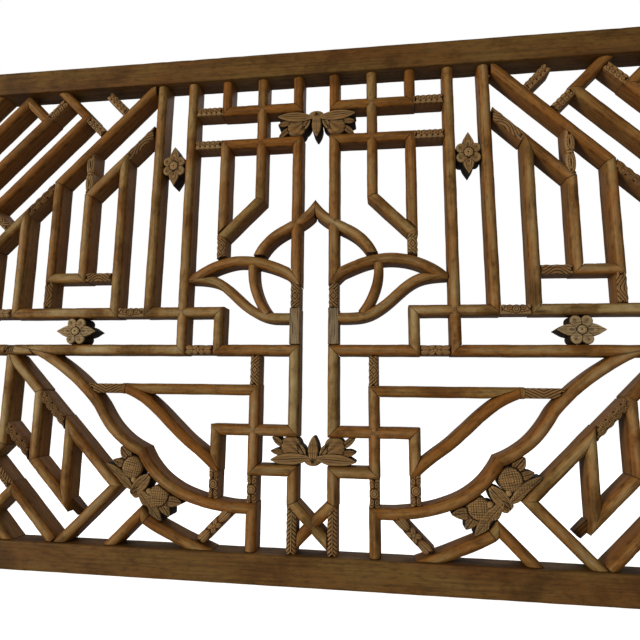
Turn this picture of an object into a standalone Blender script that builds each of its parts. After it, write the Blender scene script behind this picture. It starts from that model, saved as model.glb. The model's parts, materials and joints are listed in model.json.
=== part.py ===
"""Antique transom window: a carved wooden lattice in a plain frame.

The lattice is drawn in millimetres as (u, z): u is the distance from the window's
middle line and z the height over the long middle row. Each strand is drawn once and
built twice, to the right (side 1) and to the left (side -1) of the middle line.
The front faces -Y and the origin is the middle of the frame's underside.
"""

import math

import bmesh
import bpy

# Driving dimensions, in millimetres.
barWidth = 16.7
barDepth = 37.0
latticeFront = -17.0
gap = 0.3
frameWidth = 42.0
frameDepth = 46.0
innerTop = 457.0
innerBottom = -296.0
innerSide = 612.0

# Centre lines of the upright bars, from the middle outwards.
columns = (30.0, 91.0, 152.5, 213.0, 271.5, 330.0, 391.0, 448.5, 505.5, 563.0)
c0, c1, c2, c3, c4, c5, c6, c7, c8, c9 = columns
# Centre lines of the level bars.
rowTop = 404.0
rowHoop = 344.0
rowInnerU = 119.5
rowOuterU = 60.3
rowLower1 = -61.5
rowLower2 = -122.0
rowLower3 = -180.0
postFoot = 150.0
# Slanting bars: u + z on bars that fall outwards, z - u on bars that fall inwards.
outFall = {"first": 966.0, "second": 888.0, "third": 813.0, "fourth": 736.0, "fifth": 654.0,
           "corner": 1037.0, "hoop": 336.0, "low0": 355.0, "low1": 259.0, "low2": 96.0, "low3": 13.0,
           "foot": -116.0}
# The two outermost bars were set a little wider on the right.
rightSlip = {"first": 19.0, "second": 8.0}
inFall = {"crossA": -76.0, "crossB": 3.0, "crossC": 80.0, "crossD": -326.0,
          "low1": -516.0, "low2": -623.0, "low3": -699.0, "low4": -777.0}
crossingZ = -255.5

half = barWidth / 2
sillHeight = frameWidth - innerBottom
diag = math.sqrt(0.5)


def toWorld(u, y, z, side):
    return (side * u / 1000, (y + latticeFront) / 1000, (z + sillHeight) / 1000)


def fallOf(name, side):
    return outFall[name] + (rightSlip.get(name, 0.0) if side > 0 else 0.0)


def slantCorner(outName, inName, side=-1):
    """Where a bar that falls outwards meets one that falls inwards."""
    total, difference = fallOf(outName, side), inFall[inName]
    return ((total - difference) / 2, (total + difference) / 2)


# ---------------------------------------------------------------- sections
def barSection(at=0.0):
    """Deep bar with a thumb-moulded front, as (s, y)."""
    return [(-half, barDepth), (-half, 4.6), (-4.4, 0.0), (4.4, 0.0), (half, 4.6), (half, barDepth)]


def blockSection(at=0.0):
    """Flat block without moulding."""
    wide = half - 0.1
    return [(-wide, barDepth - 0.2), (-wide, 1.6), (-wide + 0.8, 0.8), (wide - 0.8, 0.8), (wide, 1.6),
            (wide, barDepth - 0.2)]


def carvedSection(at=0.0):
    """Carved link, a little slimmer and lower than a bar. It swells at the middle of its length,
    where at is 0.5."""
    swell = math.sin(math.pi * at)
    wide = 6.9 + 0.8 * swell
    crest = 2.2 - 1.4 * swell
    return [(-wide, barDepth - 0.6), (-wide, crest + 2.8), (-wide * 0.5, crest), (wide * 0.5, crest),
            (wide, crest + 2.8), (wide, barDepth - 0.6)]


def brokenSection(at=0.0):
    """What is left of a link that has split off, low and uneven."""
    crest = 17.0 + 9.0 * at + 2.0 * math.sin(9 * at)
    return [(-6.6, barDepth - 0.8), (-6.6, crest + 2), (-3.0, crest - 2.5), (0.5, crest + 1),
            (3.4, crest - 1), (6.6, crest + 3), (6.6, barDepth - 0.8)]


sections = {"bar": barSection, "block": blockSection, "carved": carvedSection,
            "broken": brokenSection}
stationsOf = {"bar": 1, "block": 1, "carved": 2, "broken": 3}


# ---------------------------------------------------------------- paths
def bezier(p0, p1, p2, p3, steps):
    """Points of a cubic curve."""
    points = []
    for i in range(steps + 1):
        t = i / steps
        w = ((1 - t) ** 3, 3 * t * (1 - t) ** 2, 3 * t * t * (1 - t), t ** 3)
        points.append((w[0] * p0[0] + w[1] * p1[0] + w[2] * p2[0] + w[3] * p3[0],
                       w[0] * p0[1] + w[1] * p1[1] + w[2] * p2[1] + w[3] * p3[1]))
    return points


def unit(x, y):
    length = math.hypot(x, y)
    return (x / length, y / length)


def between(p, q, t):
    return (p[0] + (q[0] - p[0]) * t, p[1] + (q[1] - p[1]) * t)


def stationsFor(runs):
    """Turns runs (kind, points) into stations (point, section). Runs of two kinds meet in a small step."""
    stations = []
    for index, (kind, points, *narrow) in enumerate(runs):
        factor = narrow[0] if narrow else 1.0
        points = list(points)
        if index:
            points[0] = between(points[0], points[1], 0.4 / math.dist(points[0], points[1]))
        count = stationsOf[kind]
        if count > 1:
            a, b = points[0], points[-1]
            for i in range(count + 1):
                at = i / count
                stations.append((between(a, b, at), sections[kind](at)))
        else:
            for point in points:
                stations.append((point, [(s * factor, y) for s, y in sections[kind]()]))
    return stations


def ringsFor(stations, startCut, endCut):
    """Places a section at every station, on the bisector of the bend there.

    startCut and endCut are directions in (u, z) along which the two ends are cut.
    """
    rings = []
    last = len(stations) - 1
    for i, (point, section) in enumerate(stations):
        before = unit(point[0] - stations[i - 1][0][0], point[1] - stations[i - 1][0][1]) if i else None
        after = None
        if i < last:
            after = unit(stations[i + 1][0][0] - point[0], stations[i + 1][0][1] - point[1])
        way = before or after
        normal = (-way[1], way[0])
        if i == 0 and startCut:
            cut = unit(*startCut)
        elif i == last and endCut:
            cut = unit(*endCut)
        elif before and after:
            cut = unit(-before[1] - after[1], before[0] + after[0])
        else:
            cut = normal
        reach = 1 / (cut[0] * normal[0] + cut[1] * normal[1])
        cut = (cut[0] * reach, cut[1] * reach)
        rings.append([(point[0] + cut[0] * s, y, point[1] + cut[1] * s) for s, y in section])
    return rings


def bandPlane(bm, p, q, inside, side):
    """Cuts everything beyond the upright plane through p and q, and closes the cut."""
    a = toWorld(p[0], 0, p[1], side)
    b = toWorld(q[0], 0, q[1], side)
    normal = (b[2] - a[2], 0.0, a[0] - b[0])
    c = toWorld(inside[0], 0, inside[1], side)
    if normal[0] * (c[0] - a[0]) + normal[2] * (c[2] - a[2]) > 0:
        normal = (-normal[0], 0.0, -normal[2])
    found = bmesh.ops.bisect_plane(bm, geom=bm.verts[:] + bm.edges[:] + bm.faces[:], dist=1e-7,
                                   plane_co=a, plane_no=normal, clear_outer=True)
    rim = [edge for edge in found["geom_cut"] if isinstance(edge, bmesh.types.BMEdge)]
    if rim:
        bmesh.ops.holes_fill(bm, edges=rim, sides=0)


def strandMesh(stroke, side):
    """One stroke of a strand as a closed mesh."""
    bm = bmesh.new()
    rings = ringsFor(stationsFor(stroke["runs"]), stroke.get("startCut"), stroke.get("endCut"))
    placed = [[bm.verts.new(toWorld(u, y, z, side)) for u, y, z in ring] for ring in rings]
    for first, second in zip(placed, placed[1:]):
        for i in range(len(first)):
            j = (i + 1) % len(first)
            bm.faces.new((first[i], first[j], second[j], second[i]))
    bm.faces.new(placed[0])
    bm.faces.new(placed[-1])
    bmesh.ops.triangulate(bm, faces=[face for face in bm.faces if len(face.verts) == 4])
    for p, q, inside in stroke.get("clip", ()):
        bandPlane(bm, p, q, inside, side)
    bmesh.ops.recalc_face_normals(bm, faces=bm.faces[:])
    mesh = bpy.data.meshes.new("strand")
    bm.to_mesh(mesh)
    bm.free()
    return mesh


# ---------------------------------------------------------------- objects
for existing in list(bpy.data.objects):
    bpy.data.objects.remove(existing, do_unlink=True)


def woodMaterial(name, colour, roughness):
    material = bpy.data.materials.new(name)
    material.use_nodes = True
    shader = material.node_tree.nodes["Principled BSDF"]
    shader.inputs["Base Color"].default_value = (*colour, 1.0)
    shader.inputs["Roughness"].default_value = roughness
    shader.inputs["Metallic"].default_value = 0.0
    material.diffuse_color = (*colour, 1.0)
    return material


latticeWood = (0.165, 0.085, 0.032)
carvedWood = (0.15, 0.092, 0.048)
frameWood = (0.13, 0.066, 0.027)


def addObject(name, mesh, colour, helper=False):
    obj = bpy.data.objects.new(name, mesh)
    bpy.context.scene.collection.objects.link(obj)
    if helper:
        obj.hide_render = True
        obj.display_type = "WIRE"
    else:
        mesh.materials.append(woodMaterial(name + "Wood", colour, 0.62))
    return obj


def addBoolean(obj, other, operation):
    modifier = obj.modifiers.new(operation.lower() + other.name, "BOOLEAN")
    modifier.operation = operation
    modifier.solver = "EXACT"
    modifier.object = other


def joinStrokes(obj, side, strokes):
    for stroke in strokes:
        branch = addObject("%s.branch%d" % (obj.name, len(obj.modifiers)), strandMesh(stroke, side),
                           latticeWood, True)
        addBoolean(obj, branch, "UNION")


def addStrand(name, side, strokes):
    """The first stroke is the strand, and the others are joined to it."""
    obj = addObject(name + ("Right" if side > 0 else "Left"), strandMesh(strokes[0], side), latticeWood)
    joinStrokes(obj, side, strokes[1:])
    return obj


def cutPrism(obj, side, corners, low, high):
    """Cuts an upright prism over the given (u, z) corners out of an object, from y low to high."""
    bm = bmesh.new()
    lower = [bm.verts.new(toWorld(u, low, z, side)) for u, z in corners]
    upper = [bm.verts.new(toWorld(u, high, z, side)) for u, z in corners]
    bm.faces.new(lower)
    bm.faces.new(upper)
    for i in range(len(corners)):
        j = (i + 1) % len(corners)
        bm.faces.new((lower[i], lower[j], upper[j], upper[i]))
    bmesh.ops.recalc_face_normals(bm, faces=bm.faces[:])
    mesh = bpy.data.meshes.new("prism")
    bm.to_mesh(mesh)
    bm.free()
    cutter = addObject("%s.cut%d" % (obj.name, len(obj.modifiers)), mesh, carvedWood, True)
    addBoolean(obj, cutter, "DIFFERENCE")


def notch(obj, side, centre, along, front, spare=0.0):
    """Halves a bar where another crosses it. along is the other bar's direction, and front says
    whether this bar is the one that shows in front."""
    wide = half + gap + spare
    middle = barDepth / 2
    low, high = (middle - gap / 2, barDepth + 3) if front else (-3, middle + gap / 2)
    way = unit(*along)
    across = (-way[1], way[0])
    corners = [(centre[0] + way[0] * 19 * a + across[0] * wide * b,
                centre[1] + way[1] * 19 * a + across[1] * wide * b)
               for a, b in ((-1, -1), (1, -1), (1, 1), (-1, 1))]
    cutPrism(obj, side, corners, low, high)


def bar(*points, **rest):
    return {"runs": [("bar", points)], **rest}


def carved(*points, **rest):
    return {"runs": [("carved", points)], **rest}


def link(start, end, fromCentre, toCentre, **rest):
    """Carved link along the line from start to end, which are centre lines of two bars.
    fromCentre and toCentre say how far from them it begins and ends."""
    length = math.dist(start, end)
    return carved(between(start, end, fromCentre / length), between(start, end, 1 - toCentre / length),
                  **rest)


inside = half - 3.0
touching = half + gap
sharp = (math.sin(math.pi / 8), -math.cos(math.pi / 8))
mitreGap = gap / 2 / diag

cornerB = slantCorner("third", "crossB")
thirdTop = (outFall["fourth"] - innerTop, innerTop)
toRail = ((0.0, innerTop - gap), (1.0, innerTop - gap), (0.0, 0.0))
toSill = ((0.0, innerBottom + gap), (1.0, innerBottom + gap), (0.0, 0.0))
toStile = ((innerSide - gap, 0.0), (innerSide - gap, 1.0), (0.0, 0.0))

# The long slanting joint between the middle row and the outer sweep, and between the first
# lower row and the inner sweep.
rowSweepJoint = ((428.0, -half), (498.0, -half + 70 * 0.208))
lowerSweepJoint = ((258.0, rowLower1 - half), (306.0, rowLower1 + half))


# Outer sweep, from the junction in the middle row down to the sill.
sweepPath = ([(478.0 - gap, 6.6)]
             + bezier((470.0, 4.0), (425.0, -15.0), (372.0, -52.0), (343.0, -90.0), 5)
             + bezier((343.0, -90.0), (325.0, -121.0), (302.0, -143.5), (267.0, -157.5), 4)[1:]
             + bezier((267.0, -157.5), (250.0, -188.0), (222.0, -219.0), (150.0, -231.5), 5)[1:]
             + [(120.0, -235.2), (c1, -235.5), (c1, innerBottom + gap)])
# Bar that turns over at the top and runs down to the sill on both sides.
sillTop = (262.0, outFall["low3"] - 262.0)
sillPath = [(outFall["low3"] - innerBottom + 20, innerBottom - 20), sillTop,
            *bezier((254.0, -258.0), (235.0, -269.0), (205.0, -282.0), (150.0, -303.0), 4)]


def shifted(line, distance):
    """The same line, moved across itself."""
    (u0, z0), (u1, z1) = line
    normal = unit(z0 - z1, u1 - u0)
    return ((u0 + normal[0] * distance, z0 + normal[1] * distance),
            (u1 + normal[0] * distance, z1 + normal[1] * distance))


def onLevel(line, z):
    """The line's point at the height z."""
    (u0, z0), (u1, z1) = line
    return (u0 + (u1 - u0) * (z - z0) / (z1 - z0), z)


def buildHalf(side):
    cornerA = slantCorner("second", "crossA", side)
    # Short bar across the corner of the frame.
    addStrand("cornerBar", side, [
        bar((innerSide + 20, outFall["corner"] - innerSide - 20),
            (outFall["corner"] - innerTop - 20, innerTop + 20), clip=(toStile, toRail)),
    ])
    # Two outermost slanting bars and the cross bar that turns one into the other.
    addStrand("outerSlant", side, [
        bar((innerSide + 20, fallOf("second", side) - innerSide - 20), cornerA,
            slantCorner("first", "crossA", side),
            (innerSide + 20, fallOf("first", side) - innerSide - 20), clip=(toStile, toRail)),
        link(cornerA, slantCorner("second", "crossB", side), inside, touching, clip=(toRail,)),
    ])
    addStrand("middleSlant", side, [
        bar((innerSide + 20, outFall["third"] - innerSide - 20), cornerB,
            (innerTop + 20 - inFall["crossB"], innerTop + 20), clip=(toStile, toRail)),
        link(cornerB, slantCorner("fourth", "crossB"), inside, touching),
    ])
    # Slanting bar, upright and short row around the first U.
    uTop = (c7, outFall["fourth"] - c7)
    addStrand("innerUOuter", side, [
        bar((outFall["fourth"] - innerTop + gap, innerTop - gap), uTop, (c7, rowInnerU),
            (c6 + mitreGap, rowInnerU), startCut=(1, 0), endCut=(1, 1),
            clip=(((c4 + touching, 0), (c4 + touching, 1), (c9, 0)),)),
        link(uTop, (c8, outFall["fourth"] - c8), inside + 1, 0,
             clip=(((c8 - touching, 0), (c8 - touching, 1), (0, 0)),)),
        link((c7, rowInnerU), (c7, rowOuterU), inside, touching),
        link(slantCorner("fourth", "crossC"), slantCorner("third", "crossC"), inside, 0,
             clip=(toRail,)),
    ])
    addStrand("innerUInner", side, [
        bar((c6, rowInnerU + mitreGap), (c6, outFall["fifth"] - c6),
            (c5 + mitreGap * 0.5, outFall["fifth"] - c5 - mitreGap * 0.5), startCut=(1, 1), endCut=sharp),
        link((c6, outFall["fifth"] - c6), (c6, outFall["fourth"] - c6), inside + 1, 0,
             clip=(((0, outFall["fourth"] - touching / diag), (outFall["fourth"] - touching / diag, 0), (0, 0)),)),
        link((c6, rowInnerU), (c5, rowInnerU), half - 0.5, touching),
    ])
    topMitre = ((c5, outFall["fifth"] - c5), (c5 + sharp[0], outFall["fifth"] - c5 + sharp[1]))
    addStrand("outerU", side, [
        bar((c5, outFall["fifth"] - c5 - gap), (c5, rowOuterU), (c8, rowOuterU),
            (c8, outFall["fourth"] - c8 - gap), startCut=sharp, endCut=sharp),
        link((c8, rowOuterU), (c9, rowOuterU), inside, touching),
        link((c5, outFall["fifth"] - c5), (c4, outFall["fifth"] - c4), inside + 1, 0,
             clip=(((c4 + touching, 0), (c4 + touching, 1), (c5, 0)),
                   (*shifted(topMitre, -gap), (c4, rowOuterU)))),
    ])
    addStrand("outerHook", side, [
        bar((c8 + mitreGap * 0.5, outFall["fourth"] - c8 - mitreGap * 0.5), (c9, outFall["fourth"] - c9),
            (c9, rowOuterU), (innerSide - gap, rowOuterU), startCut=sharp),
        link(slantCorner("fourth", "crossD"), slantCorner("third", "crossD"), inside, touching),
    ])
    # Upright, row and short upright, halved over the next upright.
    step = addStrand("stepBar", side, [
        bar((c4 - 3, innerTop - gap), (c4, rowOuterU), (c2, rowOuterU), (c2, touching)),
        link((c4, rowOuterU), (c5, rowOuterU), inside, touching),
    ])
    notch(step, side, (c3, rowOuterU), (0, 1), False)
    tall = addStrand("tallUpright", side, [
        bar((c3, innerTop - gap), (c3, 0), onLevel(shifted(rowSweepJoint, gap / 2), 0.0),
            endCut=(1, 0.208), clip=(((478.0 - gap, 0), (478.0 - gap, 1), (0, 0)),)),
    ])
    notch(tall, side, (c3, rowOuterU), (1, 0), True)
    # Hoop over the eye, and the U above it.
    hoop = addStrand("hoop", side, [
        bar((c2, outFall["hoop"] + (half + gap) / diag - c2), (c2, rowHoop), (c0, rowHoop), (c0, 124.8),
            startCut=(-1, 1), endCut=(1, 1.09)),
        link((c2, rowHoop), (c3, rowHoop), inside, touching),
    ])
    top = addStrand("topU", side, [
        bar((c2, innerTop - gap), (c2, rowTop), (c0, rowTop), (c0, innerTop - gap)),
        link((c2, rowTop), (c3, rowTop), inside, touching),
    ])
    kneeTop = (c2, outFall["hoop"] - c2)
    knee = addStrand("knee", side, [
        {"runs": [("bar", ((c1, innerTop - gap), (c1, outFall["hoop"] - c1), kneeTop,
                           (c2, kneeTop[1] - 4))),
                  ("carved", ((c2, kneeTop[1] - 4), (c2, 149.0)))],
         "endCut": (1, -0.3)},
    ])
    for crossed, row in ((hoop, rowHoop), (top, rowTop)):
        notch(crossed, side, (c1, row), (0, 1), False)
        notch(knee, side, (c1, row), (1, 0), True)
    notch(hoop, side, (c0, 203.4), (1, -0.62), False, 1.6)
    # The eye: upper lid with the piece of the spine under it, then the lower lid and the iris.
    lid = (bezier((204.0, 103.5), (196.0, 119.0), (158.0, 142.8), (119.0, 142.8), 5)
           + bezier((119.0, 142.8), (86.0, 142.8), (62.0, 131.0), (44.0, 123.0), 3)[1:]
           + bezier((44.0, 123.0), (35.0, 118.5), (c0, 111.0), (c0, 102.0), 3)[1:])
    eye = addStrand("eye", side, [
        {"runs": [("bar", lid), ("carved", ((c0, 102.0), (c0, rowOuterU))),
                  ("block", ((c0, rowOuterU), (c0, touching)))],
         "clip": (((c3 - touching, 0), (c3 - touching, 1), (0, 0)),)},
    ])
    lidJoint = ((156.0, 117.7), (212.0, 109.4))
    cutPrism(eye, side, (*lidJoint, (212.0, 80.0), (156.0, 80.0)), -3, barDepth + 3)
    under = (bezier((206.0, 116.0), (176.0, 115.5), (160.0, 112.0), (143.0, 99.0), 3)
             + bezier((143.0, 99.0), (120.0, 80.5), (100.0, 53.0), (64.0, 50.2), 4)[1:]
             + bezier((64.0, 50.2), (54.0, 49.8), (46.0, 49.6), (c0 + half - 1.5, 50.0), 1)[1:])
    joinStrokes(eye, side, [
        {"runs": [("bar", under, 0.93)], "endCut": (0, 1),
         "clip": ((*shifted(lidJoint, 0.6), (60.0, 50.0)),
                  ((c3 - touching, 0), (c3 - touching, 1), (0, 0)))},
        {"runs": [("bar", bezier((99.6, 136.0), (101.5, 108.0), (93.0, 80.0), (74.0, 56.0), 4), 0.88)],
         "startCut": (1, 0)},
    ])
    # Second step of the middle row, down the spine and out to the post.
    spine = addStrand("spineHook", side, [
        {"runs": [("carved", ((c3 - touching, 0), (c2 + half, 0))),
                  ("bar", ((c2 + half, 0), (c0, 0), (c0, rowLower2), (postFoot, rowLower2),
                           (postFoot, rowLower3))),
                  ("carved", ((postFoot, rowLower3), (postFoot, -222.3)))],
         "endCut": (1, 0.17)},
    ])
    notch(spine, side, (c1, rowLower2), (0, 1), False)
    lower = addStrand("lowerRow", side, [
        bar(onLevel(shifted(lowerSweepJoint, gap / 2), rowLower1), (c1, rowLower1),
            (c1, rowLower3 + mitreGap), startCut=(1, 0.348), endCut=(-1, 1)),
        link((c1, rowLower1), (c1, 0), inside, touching),
    ])
    notch(lower, side, (c1, rowLower2), (1, 0), True)
    sweep = [(306.0, rowLower1)] + bezier((300.0, -61.2), (264.0, -73.0), (246.0, -94.0), (216.0, -121.0), 5)
    sweep += bezier((216.0, -121.0), (192.0, -147.0), (177.0, -165.0), (postFoot + touching, -171.4), 4)[1:]
    addStrand("innerSweep", side, [
        {"runs": [("carved", ((357.0, rowLower1), (306.4, rowLower1))), ("bar", sweep)],
         "startCut": (0.72, 0.7), "endCut": (0, 1),
         "clip": ((*shifted(lowerSweepJoint, -gap / 2), (200, -200)),)},
    ])
    # Foot of the spine: short row, upright and the bar that crosses the middle line.
    beside = (-c0 + 7.8 + gap, 1.0)
    foot = addStrand("footHook", side, [
        bar((c1 - mitreGap, rowLower3), (c0, rowLower3), (c0, crossingZ + c0),
            (-40.0, crossingZ - 40.0), startCut=(-1, 1),
            clip=((beside, (beside[0], 0.0), (c1, 0.0)),)),
        link((c1, rowLower3), (c1, -235.5), half - 0.7, touching),
        link((c0, crossingZ + c0), (c0, innerBottom), half - 4.5, gap),
    ])
    notch(foot, side, (0, crossingZ), (1, -1) if side > 0 else (-1, -1), side < 0)
    addStrand("outerSweep", side, [
        {"runs": [("bar", sweepPath)], "startCut": (0, 1),
         "clip": ((*shifted(rowSweepJoint, -gap / 2), (400, -200)),)},
        carved((121.0, outFall["foot"] - 121.0), (176.0, outFall["foot"] - 176.0),
               clip=(((150.0, -290.6), (190.0, -275.4), (120.0, -240.0)),)),
    ])
    # Middle row outside the junction.
    addStrand("rowEnd", side, [
        {"runs": [("bar", ((innerSide - gap, 0), (c9 + 2, 0))),
                  ("carved", ((c9 + 2, 0), (522.0, 0))),
                  ("bar", ((522.0, 0), (506.0, 0))),
                  ("carved", ((506.0, 0), (478.0 + gap, 0)))]},
    ])
    # Upright under the junction. The joint with the zigzag halves the angle between them.
    crotch = (c8 - half, inFall["low1"] - half / diag + c8 - half)
    mitre = (math.sin(math.pi / 8), math.cos(math.pi / 8))
    joint = (crotch, (crotch[0] + 2 * mitre[0] * half / mitre[0], crotch[1] + 2 * half * mitre[1] / mitre[0]))
    underRow = ((0.0, -touching), (1.0, -touching), (0.0, -300.0))
    low0Top = (c8, outFall["low0"] - c8)
    addStrand("lowHook", side, [
        bar(between(*shifted(joint, -gap / 2), 0.5), low0Top,
            (innerSide + 20, outFall["low0"] - innerSide - 20), startCut=mitre, clip=(underRow, toStile)),
        link((c8, inFall["low2"] + c8), (c7, inFall["low2"] + c7), inside + 1, 0,
             clip=(((c7 + touching, 0), (c7 + touching, 1), (c8, 0)),)),
    ])
    zig1 = (c7, inFall["low1"] + c7)
    zig2 = (c7, inFall["low2"] + c7)
    zig3 = (c6, inFall["low2"] + c6)
    zig4 = (c6, inFall["low1"] + c6)
    zig5 = slantCorner("low2", "low1")
    addStrand("zigzag", side, [
        bar(between(*shifted(joint, gap / 2), 0.5), zig1, zig2, zig3, zig4, zig5,
            (outFall["low2"] - innerBottom + 20, innerBottom - 20), startCut=mitre,
            clip=(underRow, toSill)),
        link(zig1, zig4, inside + 1, 0, clip=(((c6 + touching, 0), (c6 + touching, 1), (c7, 0)),)),
        {"runs": [("broken", (between(zig3, slantCorner("low2", "low2"), 0.16),
                              between(zig3, slantCorner("low2", "low2"), 0.72)))]},
    ])
    # Bars that stand on the sill.
    low1Top = slantCorner("low1", "low3")
    zigzagEdge = outFall["low2"] + (half + gap) / diag
    besideZigzag = ((zigzagEdge, 0.0), (0.0, zigzagEdge), (c9, 0.0))
    addStrand("sillGable", side, [
        bar((innerBottom - 20 - inFall["low3"], innerBottom - 20), low1Top,
            (outFall["low1"] - innerBottom + 20, innerBottom - 20), clip=(toSill, besideZigzag)),
        link(low1Top, slantCorner("low0", "low3"), inside, touching),
        bar(slantCorner("low1", "low4"), (innerBottom - 20 - inFall["low4"], innerBottom - 20), clip=(toSill,), startCut=(1, -1)),
    ])
    addStrand("sillSweep", side, [bar(*sillPath, clip=(toSill,))])


buildHalf(1)
buildHalf(-1)

# Ogee arch over both eyes, halved over the two uprights of the spine.
flank = (bezier((0.0, 228.0), (13.0, 210.5), (30.0, 202.4), (47.0, 193.5), 3)
         + bezier((47.0, 193.5), (66.0, 184.0), (85.0, 169.0), (93.0, 145.0), 4)[1:])
archPath = [(-u, z) for u, z in reversed(flank)] + flank[1:]
footLine = ((0.0, 151.6), (1.0, 151.6), (0.0, 400.0))
arch = addObject("ogeeArch", strandMesh(bar(*archPath, clip=(footLine,)), 1), latticeWood)
for side in (1, -1):
    notch(arch, side, (c0, 203.4), (0, 1), True)


# ---------------------------------------------------------------- carved ornaments
def lens(start, end, wide):
    """Leaf with a point at both ends. Gives how deep inside it a (u, z) point is, from 0 at its
    edge to 1 on its crest, and less than 0 outside."""
    length = math.dist(start, end)
    way = unit(end[0] - start[0], end[1] - start[1])

    def depthAt(u, z):
        along = (u - start[0]) * way[0] + (z - start[1]) * way[1]
        across = abs((z - start[1]) * way[0] - (u - start[0]) * way[1])
        if not 0 < along < length:
            return -1.0
        return 1.0 - across / (wide * math.sin(math.pi * along / length) ** 0.8)
    return depthAt


def dome(centre, radius):
    """Round petal or fruit, as lens gives it."""
    def depthAt(u, z):
        away = math.dist((u, z), centre) / radius
        return 1.0 - away * away
    return depthAt


def ornamentMesh(centre, shapes, side, limit, rim, crest, turns, first=0.0):
    """Carved piece around a centre. Its outline is the furthest that any of the shapes reaches in
    each direction, and its front rises from rim to crest where the shapes are deep. limit says
    where the piece may be, and first is the first direction looked in."""
    bm = bmesh.new()
    rings = [[], [], []]
    for turn in range(turns):
        angle = first + 2 * math.pi * turn / turns
        way = (math.cos(angle), math.sin(angle))
        reach = 1.0
        for step in range(2, 360):
            u, z = centre[0] + way[0] * step * 0.2, centre[1] + way[1] * step * 0.2
            if limit(u, z) and max(shape(u, z) for shape in shapes) > 0:
                reach = step * 0.2
        middle = (centre[0] + way[0] * reach * 0.55, centre[1] + way[1] * reach * 0.55)
        edge = (centre[0] + way[0] * reach, centre[1] + way[1] * reach)
        high = min(1.0, max(0.35, max(shape(*middle) for shape in shapes)))
        rings[0].append(bm.verts.new(toWorld(edge[0], barDepth - 1.0, edge[1], side)))
        rings[1].append(bm.verts.new(toWorld(edge[0], rim, edge[1], side)))
        rings[2].append(bm.verts.new(toWorld(middle[0], rim + (crest - rim) * high, middle[1], side)))
    top = bm.verts.new(toWorld(centre[0], crest, centre[1], side))
    for turn in range(turns):
        after = (turn + 1) % turns
        for lower, upper in ((rings[0], rings[1]), (rings[1], rings[2])):
            bm.faces.new((lower[turn], lower[after], upper[after], upper[turn]))
        bm.faces.new((rings[2][turn], rings[2][after], top))
    bm.faces.new(rings[0])
    bmesh.ops.triangulate(bm, faces=[face for face in bm.faces if len(face.verts) == 4])
    bmesh.ops.recalc_face_normals(bm, faces=bm.faces[:])
    mesh = bpy.data.meshes.new("ornament")
    bm.to_mesh(mesh)
    bm.free()
    return mesh


def anywhere(u, z):
    return True


def addOrnament(name, meshes):
    """The meshes joined into one piece."""
    obj = addObject(name, meshes[0], carvedWood)
    for number, mesh in enumerate(meshes[1:], 1):
        other = addObject("%s.part%d" % (name, number), mesh, carvedWood, True)
        addBoolean(obj, other, "UNION")
    return obj


def rosetteShapes(centre, upright, reach):
    """Two long petals, four round ones beside them."""
    cu, cz = centre

    def place(along, across):
        return (cu + across, cz + along) if upright else (cu + along, cz + across)
    shapes = [lens(place(-3, 0), place(36, 0), 9.2), lens(place(3, 0), place(-36, 0), 9.2),
              dome(centre, 11.0)]
    for a in (-1, 1):
        for b in (-1, 1):
            shapes.append(dome(place(7.6 * a, (reach - 8.2) * b), 8.2))
    return shapes


for side, word in ((1, "Right"), (-1, "Left")):
    high = ((c3 + c4) / 2 - 0.9, 310.0)
    addOrnament("highRosette" + word,
                [ornamentMesh(high, rosetteShapes(high, True, (c4 - c3) / 2 - half - 1.5), side,
                              anywhere, 8.0, 3.5, 28)])
    low = (392.0 - 2.0 * side, rowOuterU / 2)
    addOrnament("lowRosette" + word,
                [ornamentMesh(low, rosetteShapes(low, False, rowOuterU / 2 - half - 0.4), side,
                              anywhere, 7.0, 3.0, 28)])


def flowerMeshes(floor, ceiling, tall):
    """Flower with a middle petal that stands up from a knob, and a fruit between leaves on each
    side. floor and ceiling are its lower and upper limits, and it hangs upside down when the
    ceiling is the lower one."""
    scale = (ceiling - floor) / 40.7

    def at(u, up):
        return (u, floor + up * scale)

    def within(u, z):
        return min(floor, ceiling) < z < max(floor, ceiling)
    meshes = [ornamentMesh(at(0.5, 18.0), [lens(at(0.5, -5.0), at(1.0, tall), 8.6), dome(at(0.0, 8.0), 8.0)],
                           1, anywhere, 7.0, 2.0, 20, math.pi / 2)]
    for side in (1, -1):
        shapes = [dome(at(33.0, 27.5), 15.6), lens(at(2.0, 11.0), at(65.0, 6.5), 9.6),
                  lens(at(42.0, 25.0), at(63.0, 42.5), 5.2), lens(at(42.0, 18.0), at(64.5, 19.8), 5.0)]
        meshes.append(ornamentMesh(at(37.0, 20.0), shapes, side, within, 7.0, 2.0, 28))
    return meshes


addOrnament("lowFlower", flowerMeshes(rowLower3 + touching + 0.1, rowLower2 - touching - 0.1, 43.5))
addOrnament("highFlower", flowerMeshes(rowTop - touching - 0.1, rowHoop + touching + 0.1, 43.8))


def besideBars(u, z):
    """Clear of the outer sweep, the zigzag and the sill's sweep."""
    near = min(math.dist((u, z), between(a, b, t)) for path in (sweepPath, sillPath)
               for a, b in zip(path, path[1:]) for t in (0.0, 0.2, 0.4, 0.6, 0.8))
    return (near > half + 0.9 and math.dist((u, z), sillTop) > 13.0
            and z - u > inFall["low1"] + (half + 0.9) / diag)


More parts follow.
